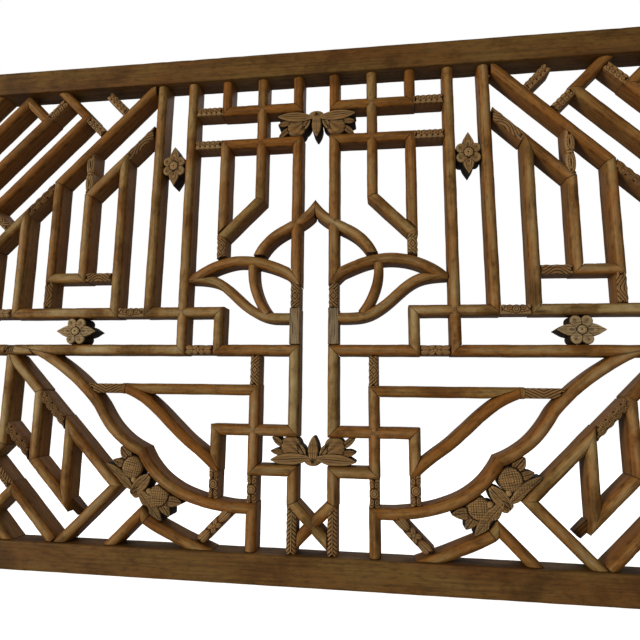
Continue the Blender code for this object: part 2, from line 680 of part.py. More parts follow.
for side, word in ((1, "Right"), (-1, "Left")):
    fruit1, fruit2 = (281.5, -182.0), (236.5, -223.0)
    falling, rising = -math.pi / 4, math.pi / 4
    parts = [
        (fruit1, [dome(fruit1, 17.5), lens((284.0, -172.0), (303.0, -151.0), 9.5),
                  lens((286.0, -182.0), (315.0, -171.0), 6.5)], 20, 0.0),
        ((301.0, -195.5), [lens((278.0, -215.0), (325.0, -176.5), 9.5)], 12, 0.686),
        ((269.0, -210.0), [lens((251.0, -191.0), (286.0, -230.0), 10.5), dome((275.0, -214.5), 11.0)],
         14, falling),
        (fruit2, [dome(fruit2, 17.0), lens((240.0, -228.0), (198.0, -232.0), 9.0),
                  lens((240.0, -222.0), (217.0, -252.0), 9.0)], 20, 0.0),
        ((250.0, -237.0), [lens((274.0, -213.0), (229.0, -258.0), 10.0)], 12, rising),
    ]
    addOrnament("spray" + word,
                [ornamentMesh(centre, shapes, side, besideBars, 7.0, 1.5, turns, first)
                 for centre, shapes, turns, first in parts])

# ---------------------------------------------------------------- frame
def addBox(name, size, centre, colour):
    bm = bmesh.new()
    bmesh.ops.create_cube(bm, size=1.0)
    for vert in bm.verts:
        vert.co.x = vert.co.x * size[0] / 1000
        vert.co.y = vert.co.y * size[1] / 1000
        vert.co.z = vert.co.z * size[2] / 1000
    mesh = bpy.data.meshes.new(name)
    bm.to_mesh(mesh)
    bm.free()
    obj = addObject(name, mesh, colour)
    obj.location = (centre[0] / 1000, centre[1] / 1000, centre[2] / 1000)
    modifier = obj.modifiers.new("worn edges", "BEVEL")
    modifier.width = 0.002
    modifier.segments = 1
    modifier.limit_method = "ANGLE"
    return obj


clear = innerTop - innerBottom
fullHeight = clear + 2 * frameWidth
addBox("frameSill", (2 * innerSide - 2 * gap, frameDepth, frameWidth), (0, 0, frameWidth / 2), frameWood)
addBox("frameHead", (2 * innerSide - 2 * gap, frameDepth, frameWidth),
       (0, 0, fullHeight - frameWidth / 2), frameWood)
for side, name in ((1, "frameStileRight"), (-1, "frameStileLeft")):
    addBox(name, (frameWidth, frameDepth, fullHeight), (side * (innerSide + frameWidth / 2), 0, fullHeight / 2),
           frameWood)
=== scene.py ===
import json
import math

import bpy
import numpy as np
from mathutils import Matrix, Vector

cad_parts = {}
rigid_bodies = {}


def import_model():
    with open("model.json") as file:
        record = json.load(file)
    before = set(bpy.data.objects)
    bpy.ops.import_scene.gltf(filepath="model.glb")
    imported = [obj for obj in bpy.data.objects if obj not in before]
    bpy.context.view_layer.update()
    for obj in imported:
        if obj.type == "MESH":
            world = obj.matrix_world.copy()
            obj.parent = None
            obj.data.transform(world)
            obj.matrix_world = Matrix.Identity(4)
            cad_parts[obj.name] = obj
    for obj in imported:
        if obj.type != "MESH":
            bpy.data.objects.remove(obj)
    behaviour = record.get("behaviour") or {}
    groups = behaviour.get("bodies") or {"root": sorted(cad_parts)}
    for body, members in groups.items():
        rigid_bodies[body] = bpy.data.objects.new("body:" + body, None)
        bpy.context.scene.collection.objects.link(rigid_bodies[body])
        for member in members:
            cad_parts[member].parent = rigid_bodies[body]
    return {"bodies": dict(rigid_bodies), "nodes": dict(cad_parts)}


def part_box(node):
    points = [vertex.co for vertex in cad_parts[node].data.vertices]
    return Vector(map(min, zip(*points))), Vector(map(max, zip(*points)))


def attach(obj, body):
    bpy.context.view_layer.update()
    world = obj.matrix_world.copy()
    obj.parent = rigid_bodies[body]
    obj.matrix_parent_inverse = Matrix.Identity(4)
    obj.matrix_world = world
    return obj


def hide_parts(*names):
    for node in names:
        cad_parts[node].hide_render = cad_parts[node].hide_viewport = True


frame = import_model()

# Antique transom window: the worn and oiled surface of its lattice, its carvings and its frame.
# Everything is worked out in millimetres as (u, y, z). u is the distance from the window's middle
# line, y the depth behind the lattice's front, and z the height over the long middle row. A strand
# is drawn once and built on the right (side 1) and on the left (side -1).
for leftover in list(bpy.data.objects):
    if leftover.name not in frame["nodes"] and leftover not in frame["bodies"].values():
        bpy.data.objects.remove(leftover, do_unlink=True)
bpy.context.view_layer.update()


def boxOf(node):
    low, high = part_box(node)
    return np.array(low) * 1000, np.array(high) * 1000


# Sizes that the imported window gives.
rowLow, rowHigh = boxOf("rowEndRight")
middleRow = (rowLow[2] + rowHigh[2]) / 2
latticeFront = rowLow[1]
half = (rowHigh[2] - rowLow[2]) / 2
barDepth = rowHigh[1] - rowLow[1]
innerTop = boxOf("frameHead")[0][2] - middleRow
innerBottom = boxOf("frameSill")[1][2] - middleRow
innerSide = boxOf("frameStileRight")[0][0]

# Lines that the lattice is set out on: uprights c0 to c9 at u, rows at z, bars that fall outwards
# at u + z, and bars that fall inwards at z - u.
c0, c1, c2, c3, c4 = 30.0, 91.0, 152.5, 213.0, 271.5
c5, c6, c7, c8, c9 = 330.0, 391.0, 448.5, 505.5, 563.0
rows = {"top": 404.0, "hoop": 344.0, "innerU": 119.5, "outerU": 60.3,
        "lower1": -61.5, "lower2": -122.0, "lower3": -180.0}
outFall = {"first": 966.0, "second": 888.0, "third": 813.0, "fourth": 736.0, "fifth": 654.0,
           "corner": 1037.0, "hoop": 336.0, "low0": 355.0, "low1": 259.0, "low2": 96.0, "low3": 13.0,
           "foot": -116.0}
rightSlip = {"first": 19.0, "second": 8.0}
inFall = {"crossA": -76.0, "crossB": 3.0, "crossC": 80.0, "crossD": -326.0,
          "low1": -516.0, "low2": -623.0, "low3": -699.0, "low4": -777.0}
postFoot = 150.0
crossingZ = -255.5
gap = 0.3
diag = math.sqrt(0.5)
inside = half - 3.0
touching = half + gap
mitreGap = gap / 2 / diag
sharp = (math.sin(math.pi / 8), -math.cos(math.pi / 8))
# Bars that the frame cuts off run on this far behind it first.
pastSide, pastTop, pastBottom = innerSide + 20, innerTop + 20, innerBottom - 20
chance = np.random.default_rng(1873)


def fallOf(name, side):
    return outFall[name] + (rightSlip.get(name, 0.0) if side > 0 else 0.0)


def slantCorner(outName, inName, side=-1):
    # Where a bar that falls outwards meets one that falls inwards.
    total, difference = fallOf(outName, side), inFall[inName]
    return ((total - difference) / 2, (total + difference) / 2)


def onOut(name, u=None, z=None, side=-1):
    # Point at u, or else at z, on a bar that falls outwards.
    total = fallOf(name, side)
    return (u, total - u) if z is None else (total - z, z)


def onIn(name, u=None, z=None):
    return (u, inFall[name] + u) if z is None else (z - inFall[name], z)


def uprightCut(u, towards):
    # Plane that ends boards at u: what lies towards the second u stays.
    return ((u, 0.0), (u, 1.0), (towards, 0.0))


def levelCut(z, towards):
    return ((0.0, z), (1.0, z), (0.0, towards))


def unit(x, y):
    length = math.hypot(x, y)
    return (x / length, y / length)


def wayTo(p, q):
    return unit(q[0] - p[0], q[1] - p[1])


def between(p, q, t):
    return (p[0] + (q[0] - p[0]) * t, p[1] + (q[1] - p[1]) * t)


def shifted(line, distance):
    # The same line, moved across itself.
    (u0, z0), (u1, z1) = line
    normal = unit(z0 - z1, u1 - u0)
    return ((u0 + normal[0] * distance, z0 + normal[1] * distance),
            (u1 + normal[0] * distance, z1 + normal[1] * distance))


def onLevel(line, z):
    (u0, z0), (u1, z1) = line
    return (u0 + (u1 - u0) * (z - z0) / (z1 - z0), z)


def bezier(p0, p1, p2, p3, step=3.0):
    # Cubic curve, p0(1-t)^3 + 3 p1 t(1-t)^2 + 3 p2 t^2(1-t) + p3 t^3, about one point each step mm.
    corners = np.array([p0, p1, p2, p3], float)
    steps = max(3, int(np.linalg.norm(np.diff(corners, axis=0), axis=1).sum() / step))
    t = np.linspace(0, 1, steps + 1)[:, None]
    curve = (corners[0] * (1 - t) ** 3 + corners[1] * 3 * t * (1 - t) ** 2
             + corners[2] * 3 * t * t * (1 - t) + corners[3] * t ** 3)
    return [tuple(point) for point in curve]


# Bars. The front is a worn thumb moulding, and the back is planed flat.
carvedHalf = 7.5
moulding = {"rise": 4.4, "roundness": 2.15, "spacing": 5.0, "wander": 0.22, "swell": 0.010,
            "wear": 0.30}


def closedProfile(front, wide, arrisTop, back):
    # front is (s, y) from the middle of the front outwards, and the rest goes down the side and
    # along the back. The loop starts at the middle of the back.
    rest = [(wide, arrisTop), (wide, arrisTop + 5), (wide, (arrisTop + back) / 2), (wide, back - 7),
            (wide, back - 1.2), (wide - 0.35, back - 0.3), (wide - 1.4, back)]
    right = np.array(front[1:] + rest)
    left = right[::-1] * (-1, 1)
    return np.vstack([[(0.0, back)], left, [front[0]], right])


def barProfile():
    # Depth of the moulding: y = rise * (s / half)^roundness, then a small round arris.
    s = np.array([0, 1.3, 2.6, 3.8, 5.0, 6.0, 6.9, 7.6])
    y = moulding["rise"] * (s / (half - 0.2)) ** moulding["roundness"]
    front = list(zip(s, y)) + [(half - 0.25, moulding["rise"] + 0.15),
                               (half - 0.05, moulding["rise"] + 0.65)]
    return closedProfile(front, half, moulding["rise"] + 1.3, barDepth)


def blockProfile():
    # Plain square block with its arrises rubbed off, on columns close enough for its cracks.
    s = np.linspace(0, 7.4, 17)
    front = [(a, 0.8) for a in s] + [(half - 0.55, 0.95), (half - 0.2, 1.4)]
    return closedProfile(front, half - 0.1, 2.2, barDepth - 0.2)


def carvedProfile():
    # Low crown across which the carving is cut, on columns 0.6 mm apart.
    wide = carvedHalf
    s = np.linspace(0, wide - 0.1, 15)
    return closedProfile(list(zip(s, 1.1 + 2.4 * (s / wide) ** 2.6)), wide, 4.8, barDepth - 0.6)


def brokenProfile():
    # Stub that was left where a link split off.
    wide = 6.6
    s = np.linspace(0, wide - 0.2, 9)
    front = [(a, 16.0 + 1.5 * math.sin(a * 1.7)) for a in s]
    return closedProfile(front, wide, 18.5, barDepth - 0.8)


profiles = {"bar": barProfile(), "block": blockProfile(), "carved": carvedProfile(),
            "broken": brokenProfile()}


def wave(t, lengths, phase):
    # Smooth wander along a board: the mean of sines with the given wave lengths in mm.
    total = np.zeros_like(t)
    for number, length in enumerate(lengths):
        total += np.sin(2 * np.pi * t / length + phase * (3.1 + 2.3 * number))
    return total / len(lengths)


def ridge(x, width):
    return np.exp(-(x / width) ** 2)


# Carvings on the links. Each takes x, the distance in mm from the middle of the visible part, y, the
# distance across, and half its length. It gives the height in mm over the crown, about 0.6 on the
# forms and -1.2 in the cuts between them, and how wide the outline is there, 1 being the full width.
def lineRib(x, y, start, end, width):
    # Rib along a straight line: exp(-(distance to the line / width)^2).
    along = np.array(end, float) - start
    part = np.clip(((x - start[0]) * along[0] + (y - start[1]) * along[1]) / (along @ along), 0, 1)
    return ridge(np.hypot(x - start[0] - part * along[0], y - start[1] - part * along[1]), width)


def grooved(part, high, cut, cutWide, vein=0.0, veinWide=0.1):
    # A deep cut where part is whole, and a shallow vein halfway to the next.
    return high - cut * ridge(np.minimum(part, 1 - part), cutWide) - vein * ridge(part - 0.5, veinWide)


def scallop(x, pitch):
    return 0.5 - 0.5 * np.cos(2 * np.pi * x / pitch)


def leafBand(x, y, reach, swing=11.0, pitch=4.4):
    # Leaves laid in a zigzag down the link. The cuts run beside the zigzag line, one each pitch, and
    # the leaves' tips are rounded.
    bends = max(1, round(reach / 20.0))
    turn = np.abs((x / reach * bends * 0.5 + 0.5) % 1 * 2 - 1)
    away = (y - swing * (turn * turn * (3 - 2 * turn) - 0.5)) * np.cos(np.arctan(swing * bends / reach))
    height = grooved((np.abs(away) / pitch + 0.5) % 1, 0.55, 1.9, 0.14, 0.7, 0.08)
    return height, 1 - 0.09 * np.sin(np.pi * x / reach * bends * 1.5) ** 2


def blossomLink(x, y, reach):
    # Button, four broad petals set cornerwise, and a blunt leaf towards each end.
    height = np.full(x.shape, -0.9)
    for a in (-1, 1):
        leaf = 1 - ((x * a - reach * 0.70) / (reach * 0.40)) ** 2 - (y / 7.4) ** 2
        shape = 1.8 * np.abs(leaf) ** 0.25 - 1.2 - 0.9 * ridge(y, 0.5) - 0.7 * ridge(np.abs(y) - 3.4, 0.4)
        height = np.maximum(height, np.where(leaf > 0, shape, -0.9))
        for b in (-1, 1):
            along = (x * a * 0.80 + y * b * 0.60) - 6.0
            across = x * a * 0.60 - y * b * 0.80
            petal = 1 - (along / 6.0) ** 2 - (across / 3.9) ** 2
            shape = 1.8 * np.abs(petal) ** 0.25 - 1.2 - 0.8 * ridge(across, 0.5) - 0.8 * ridge(petal, 0.10)
            height = np.where(petal > 0, shape, height)
    button = 1 - (np.hypot(x, y) / 2.7) ** 2
    height = np.where(button > 0, 2.1 * np.abs(button) ** 0.4 - 1.2, height)
    return height, 1 - 0.08 * ridge(np.abs(x) - reach * 0.5, reach * 0.12)


def scrollLink(x, y, reach):
    # Round scroll with an eye in the middle, a horn that curls away on each side, and blunt leaves
    # in the corners. The cuts between them are thin.
    r = np.hypot(x, y)
    height = 0.6 - 1.7 * ridge(r - 5.9, 0.55) - 1.3 * ridge(r - 3.0, 0.5) - 0.9 * ridge(r, 0.6)
    for side in (-1, 1):
        horn = np.hypot(x - side * 9.6, y - 2.6)
        height = height - 1.6 * ridge(horn - 3.9, 0.5) * (r > 6) - 1.1 * ridge(horn - 1.4, 0.45)
        leaves = (lineRib(x, y, (side * 6.0, -4.6), (side * (reach - 3.0), -2.4), 0.55)
                  + lineRib(x, y, (side * (reach - 6.0), 7.0), (side * (reach - 3.2), 0.0), 0.6))
        height = height - 1.5 * leaves * (r > 6)
    return np.maximum(height, -1.4), 1 - 0.11 * scallop(x, 9.0) * (y > 0)


def beadLink(x, y, reach):
    # Row of rounded curls, each with a thin curved cut in it, over a row of drilled holes.
    count = max(2, round(reach / 4.4))
    pitch = 2 * reach / count
    local = (x + reach) % pitch - pitch / 2
    fromEdge = np.abs(local) - pitch / 2
    cut = ridge(np.hypot(local + 0.8, y - 2.6) - 2.6, 0.5) * (y > 0.2) + ridge(fromEdge, 0.5) * (y > 1)
    hole = ridge(np.hypot(fromEdge, y + 3.4), 1.25)
    height = 0.5 - 1.3 * cut - 2.6 * hole - 1.1 * ridge(y + 1.0 - 0.5 * np.sin(x * 0.7), 0.5)
    outline = 1 - 0.10 * np.sin(np.pi * (x + reach) / pitch - np.pi / 2) ** 2 - 0.04 * (y < 0)
    return np.maximum(height, -2.0), outline


def bowLink(x, y, reach):
    # Ribbon bow: a long loop with a slit down it on each side of a knot. It is drawn in at the knot.
    loop = (np.abs(x) - reach * 0.54) / (reach * 0.42)
    slit = ridge(np.hypot(loop * 1.25, y / 1.5), 0.85)
    rim = ridge(np.hypot(loop, y / 3.7) - 1.0, 0.13)
    knot = ridge(np.abs(np.abs(x) - 2.4), 0.55)
    veins = ridge(((np.abs(x) + np.abs(y) * 1.3) / 5.2 + 0.3) % 1 - 0.5, 0.10) * (np.abs(y) > 2.0)
    height = 0.65 - 1.8 * slit - 0.9 * rim - 1.3 * knot - 0.7 * veins
    outline = 0.68 + 0.32 * np.abs(np.sin(np.pi * np.clip(np.abs(x) / reach, 0, 1))) ** 0.7
    return np.maximum(height, -1.5), outline


def diamondLink(x, y, reach):
    # Lozenge inside lozenge in the middle, and slanting straps towards both ends.
    nest = np.abs(x) / 1.2 + np.abs(y)
    part = np.where(nest < 9.6, (nest / 4.8) % 1, ((np.abs(x) - y * 0.9) / 5.6 + 0.3) % 1)
    return grooved(part, 0.55, 1.9, 0.14, 0.5, 0.09), 1 - 0.10 * scallop(x, 10.5)


def chevronLink(x, y, reach):
    # One long leaf: a rib down its middle and steep veins on both sides.
    veins = grooved(((x - np.abs(y) * 0.95) / 5.8) % 1, 0.6, 1.8, 0.17, 0.3, 0.1)
    height = np.where(np.abs(y) < 1.0, 0.65, veins) - ridge(np.abs(y) - 1.35, 0.35)
    return height, 1 - 0.07 * scallop(x, 11.6)


def hornLink(x, y, reach, swing=12.0, pitch=3.9):
    # Carved bar end: long leaves nested in a few wide bends, which run out in steep veins.
    bends = max(1, round(reach / 22.0))
    turn = np.abs((x / reach * bends * 0.5) % 1 * 2 - 1)
    away = (y - swing * (turn - 0.5)) * np.cos(np.arctan(swing * bends / reach))
    height = grooved((away / pitch) % 1, 0.5, 1.7, 0.15, 0.4, 0.09)
    return height, 1 - 0.05 * np.cos(np.pi * x / reach * 3) ** 2


def veinLink(x, y, reach):
    # Short leaf across a bar: upright veins 3.6 mm apart, and a wedge-shaped hole at its far end.
    hole = ridge((x + reach - 3.0 + 0.9 * (y - 3.0)), 1.0) * (np.abs(y) < 6)
    return grooved(((x + 0.25 * y) / 3.6) % 1, 0.4, 1.5, 0.20) - 2.0 * hole, np.ones_like(x)


def vineLink(x, y, reach):
    # Wavy stem, y = 1.6 cos(2 pi x / pitch), with a curl in every bend, turned up and down by turns.
    # The curls swell out past the edges, and small holes are drilled between them.
    pitch = 2 * reach / max(2, round(2 * reach / 15.0))
    stem = y - 1.6 * np.cos(2 * np.pi * x / pitch)
    height = 0.5 - 1.4 * ridge(np.abs(stem) - 1.0, 0.42)
    for side in (-1, 1):
        local = (x + pitch * (0.25 - 0.25 * side)) % pitch - pitch / 2
        apart = np.hypot(local, (y - side * 4.1) * 1.05)
        beyond = stem * side > 1.2
        height = height - beyond * (1.5 * ridge(apart - 3.5, 0.45) + 1.3 * ridge(apart - 1.3, 0.45))
        hole = np.hypot((np.abs(local) - pitch / 2) * 0.9, y - side * 6.0)
        height = height - 2.4 * ridge(hole, 1.5) - 0.8 * beyond * ridge(np.abs(local) - 5.3, 0.4)
    outline = 1 - 0.19 * (0.5 + 0.5 * np.cos(2 * np.pi * x / pitch + np.where(y > 0, 0, np.pi)))
    return np.maximum(height, -2.0), outline


def fishtailLink(x, y, reach):
    # Ring and button in the middle, and two curled leaves towards each end, with a hole drilled
    # where they part. The cuts between them are thin.
    r = np.hypot(x, y)
    height = 0.55 - 1.9 * ridge(r - 6.9, 0.55) - 1.2 * ridge(r - 3.6, 0.45) - 1.0 * ridge(r, 0.7)
    end = reach - 7.5
    for side in (-1, 1):
        for across in (-1, 1):
            curl = np.hypot((x - side * end) * 0.8, y - across * 4.0)
            height = height - (r > 7.4) * (1.6 * ridge(curl - 3.7, 0.5) + 1.1 * ridge(curl - 1.3, 0.45))
        height = height - 1.3 * lineRib(x, y, (side * (end - 2.0), 0.0), (side * reach, 0.0), 0.6)
        height = height - 2.4 * ridge(np.hypot(x - side * (end - 4.6), y * 0.8), 1.2)
    waist = ridge(np.abs(x) - 8.4, 1.7)
    return np.maximum(height, -2.0), 1 - 0.16 * waist - 0.05 * np.sin(x * 0.9) ** 2


carvings = {"leaves": leafBand, "blossom": blossomLink, "scroll": scrollLink, "beads": beadLink,
            "bow": bowLink, "diamonds": diamondLink, "chevrons": chevronLink, "horn": hornLink,
            "veins": veinLink, "vine": vineLink, "fishtail": fishtailLink}
linkCut = {"depth": 1.2, "notch": 4.5, "notchLong": 3.4, "scallopDeep": 9.0, "spacing": 0.8,
           "toolMarks": 0.12, "torn": 0.6, "tornSlope": 5.0, "highest": 0.12, "edge": 0.07}


def endNotch(x, y, reach):
    # Small triangle cut deep into each end, wide at the end and pointed inwards.
    fromEnd = np.clip(reach - np.abs(x), 0, None)
    return np.clip(1 - fromEnd / linkCut["notchLong"] - np.abs(y) * 0.27, 0, 1) ** 0.45


# Sweeping a profile along a board.
def boardLine(points):
    # Gives place(t): the point and the normal at distance t along the line, run on straight
    # past both ends, and the line's length.
    points = np.array(points, float)
    steps = np.diff(points, axis=0)
    lengths = np.hypot(*steps.T)
    ways = steps / lengths[:, None]
    marks = np.concatenate([[0], np.cumsum(lengths)])
    turned = np.vstack([ways[:1], (ways[1:] + ways[:-1]) / 2, ways[-1:]])
    turned /= np.hypot(*turned.T)[:, None]

    def place(t):
        held = np.clip(t, 0, marks[-1])
        over = t - held
        u, z = np.interp(held, marks, points[:, 0]), np.interp(held, marks, points[:, 1])
        wayU, wayZ = np.interp(held, marks, turned[:, 0]), np.interp(held, marks, turned[:, 1])
        size = np.hypot(wayU, wayZ)
        wayU, wayZ = wayU / size, wayZ / size
        return u + wayU * over, z + wayZ * over, -wayZ, wayU
    return place, marks[-1]


def slopeOf(cut, way):
    # How far along the board an end runs on for each mm across, when it is cut along cut.
    normal = (-way[1], way[0])
    return (cut[0] * way[0] + cut[1] * way[1]) / (cut[0] * normal[0] + cut[1] * normal[1])


def endsOfBoard(place, length, s, startSlope, endSlope, planes, steps=700, farOff=1e9):
    # First and last t at each s across, cut by the upright planes through the given lines. A plane
    # may act only within its reach of its first point.
    first, last = startSlope * s, length + endSlope * s
    if planes:
        t = np.linspace(min(first.min(), 0) - 2, max(last.max(), length) + 2, steps)[:, None] + 0 * s
        u, z, nu, nz = place(t)
        u, z = u + nu * s, z + nz * s
        room = np.full(t.shape, farOff)
        for p, q, within, *reach in planes:
            normal = unit(p[1] - q[1], q[0] - p[0])
            sign = math.copysign(1, (within[0] - p[0]) * normal[0] + (within[1] - p[1]) * normal[1])
            here = sign * ((u - p[0]) * normal[0] + (z - p[1]) * normal[1])
            if reach:
                here = np.where(np.hypot(u - p[0], z - p[1]) < reach[0], here, farOff)
            room = np.minimum(room, here)
        # Outwards from where the board is deepest inside all planes, it ends where it first leaves one.
        row = np.arange(len(t))[:, None]
        deepest = np.argmax(np.minimum(room, 6.0), axis=0)
        after = (row > deepest) & (room < 0)
        before = (row < deepest) & (room < 0)
        end = np.where(after.any(0), after.argmax(0), len(t) - 1)
        start = np.where(before.any(0), len(t) - 1 - before[::-1].argmax(0), 0)
        column = np.arange(len(s))
        last = np.where(after.any(0), np.minimum(last, t[end, column]), last)
        first = np.where(before.any(0), np.maximum(first, t[start, column]), first)
        nothing = room.max(0) < 0
        last = np.where(nothing, (first + last) / 2, last)
    return first, np.maximum(last, first + 0.05)


def stationsBetween(start, end, spacing):
    # Distances along a board: close together at the two worn ends, then evenly spaced.
    nearEnd = np.array([0.0, 0.45, 0.95, 1.9])
    nearEnd = nearEnd[nearEnd < (end - start) * 0.3]
    inner = (end - start) - 2 * nearEnd[-1]
    count = max(2, int(math.ceil(inner / spacing)))
    middle = start + nearEnd[-1] + inner * np.arange(1, count) / count
    return np.concatenate([start + nearEnd, middle, (end - nearEnd)[::-1]])


def wearMoulding(t, s, y, profile, front, free, phase):
    # Hand planing left the board a little uneven. Its arrises are rubbed, with chips out of them.
    depth = profile[:, 1]
    s = s * (1 + moulding["swell"] * wave(t, (120, 63), phase)) + (
        moulding["wander"] * wave(t, (150, 71, 39), phase + 5) * free)
    y = y + front * (0.18 * wave(t, (83, 41, 19), phase + 9) * free + 0.05 * wave(t, (11, 7), phase))
    nearArris = ridge(np.abs(profile[:, 0]) - half + 0.4, 0.9) * (depth < 9)
    chips = np.clip(wave(t + 9 * np.sign(s), (31, 17.5, 8.3, 5.1), phase + 13) - 0.25, 0, 1)
    rub = nearArris * moulding["wear"]
    # The arrises are darkened in patches, painted shade and dirt together.
    hollowDirtShadeAndRidgeLight = nearArris * (0.25 + 0.5 * wave(t + 5 * np.sign(s), (61, 27, 14), phase + 2)).clip(0, 1)
    return s - np.sign(s) * rub * (0.4 + 1.6 * chips), y + rub * 1.8 * chips, hollowDirtShadeAndRidgeLight


def carveFront(t, s, y, x, reach, fromEnds, profile, pattern, notches, phase):
    # The carving, cut into a link's front and down its sides. A stub has only torn wood. It stays
    # under the bars' fronts.
    depth, wide = profile[:, 1], np.abs(s).max()
    across = s / wide * carvedHalf
    onFront = (depth < 6) & (np.abs(profile[:, 0]) < carvedHalf + 0.1)
    rise, outline = linkCut["torn"] * wave(t * 3 + s, (17, 9), phase), 1.0
    if pattern:
        rise, outline = carvings[pattern](x, across, reach)
    rise = linkCut["depth"] * rise + linkCut["toolMarks"] * wave(t * 1.7 + 3 * s, (13, 7.1, 4.3), phase)
    notch = endNotch(x, across, reach) * (np.abs(x) < reach + 0.5) * np.where(x < 0, *notches) * onFront
    cover = np.clip((1 - np.abs(s) / wide) / linkCut["edge"], 0, 1) * onFront
    y = y - rise * cover
    y = np.where(onFront, np.maximum(y, linkCut["highest"]), y) + linkCut["notch"] * notch
    # Cuts and end notches are darkened with painted shade and dirt, raised parts lightened with a painted
    # highlight.
    hollowDirtShadeAndRidgeLight = np.clip(-(rise + 0.15) / 0.9, -1, 1) * cover + 1.6 * notch
    shallow = np.clip((linkCut["scallopDeep"] + 4 - depth) / 4, 0, 1) * np.clip(fromEnds / 1.5, 0, 1)
    return s * (1 + (outline - 1) * shallow), y, hollowDirtShadeAndRidgeLight


def crackBlock(t, s, y, hollowDirtShadeAndRidgeLight, depth, phase):
    # Drying cracks along the grain: where they lie across the block, and how deep they are.
    for at, share in ((-4.6, 0.9), (-1.3, 0.5), (2.2, 1.0), (5.4, 0.6)):
        crack = ridge(s - at - 0.7 * wave(t, (53, 22, 9), phase + at), 0.42) * (depth < 3)
        crack = crack * share * np.clip(0.6 + wave(t, (44, 31), phase - at), 0, 1)
        # Each crack is darkened with painted shade.
        y, hollowDirtShadeAndRidgeLight = y + 1.1 * crack, np.maximum(hollowDirtShadeAndRidgeLight, 1.2 * crack)
    return y, hollowDirtShadeAndRidgeLight


def fittingLines(seam, u, y, z, s, stroke):
    # Dark lines across a board where others were fitted to it.
    for (crossU, crossZ), way in stroke.get("crossings", ()):
        # The two mouldings of a halved crossing meet in mitres, which lie as far from one bar's
        # middle line as from the other's.
        way = unit(*way)
        other = np.abs((u - crossU) * -way[1] + (z - crossZ) * way[0])
        nearIt = (np.hypot(u - crossU, z - crossZ) < 14) & (y < 7)
        seam = np.maximum(seam, 0.75 * ridge(np.abs(s) - other, 0.75) * nearIt)
    for (fromU, fromZ), (toU, toZ) in stroke.get("scores", ()):
        # Knife line along which two bars were fitted together.
        way = wayTo((fromU, fromZ), (toU, toZ))
        along = (u - fromU) * way[0] + (z - fromZ) * way[1]
        off = (z - fromZ) * way[0] - (u - fromU) * way[1]
        here = (along > 0) & (along < math.dist((fromU, fromZ), (toU, toZ))) & (y < 9)
        seam = np.maximum(seam, 0.8 * ridge(off, 0.9) * here)
    return seam


# How much painted highlight on its crown and how much bare wood each kind of board shows. The painted
# highlight on the crowns is stronger near the middle row, where the light falls strongest.
crestLightCap = {"carved": 0.42, "broken": 0.42}
bareShare = {"block": 1.0, "carved": 0.25, "broken": 0.3}
lightNearMiddle = {"elsewhere": 0.72, "more": 0.38, "level": -20.0, "spread": 110.0}
# Board ends, in mm. An end's slant fades out over runIn, or over perSlant times its own length where
# that is more. Unevenness stops calm before the end. Where a joint's dirt is over openSeam, its front
# has sunk and its sides are narrowed by that share.
boardEnd = {"runIn": 26.0, "perSlant": 1.7, "calm": 12.0, "sink": 0.4, "sinkLong": 0.5, "narrowed": 0.035,
            "dirtLong": 0.75, "openSeam": 0.3}


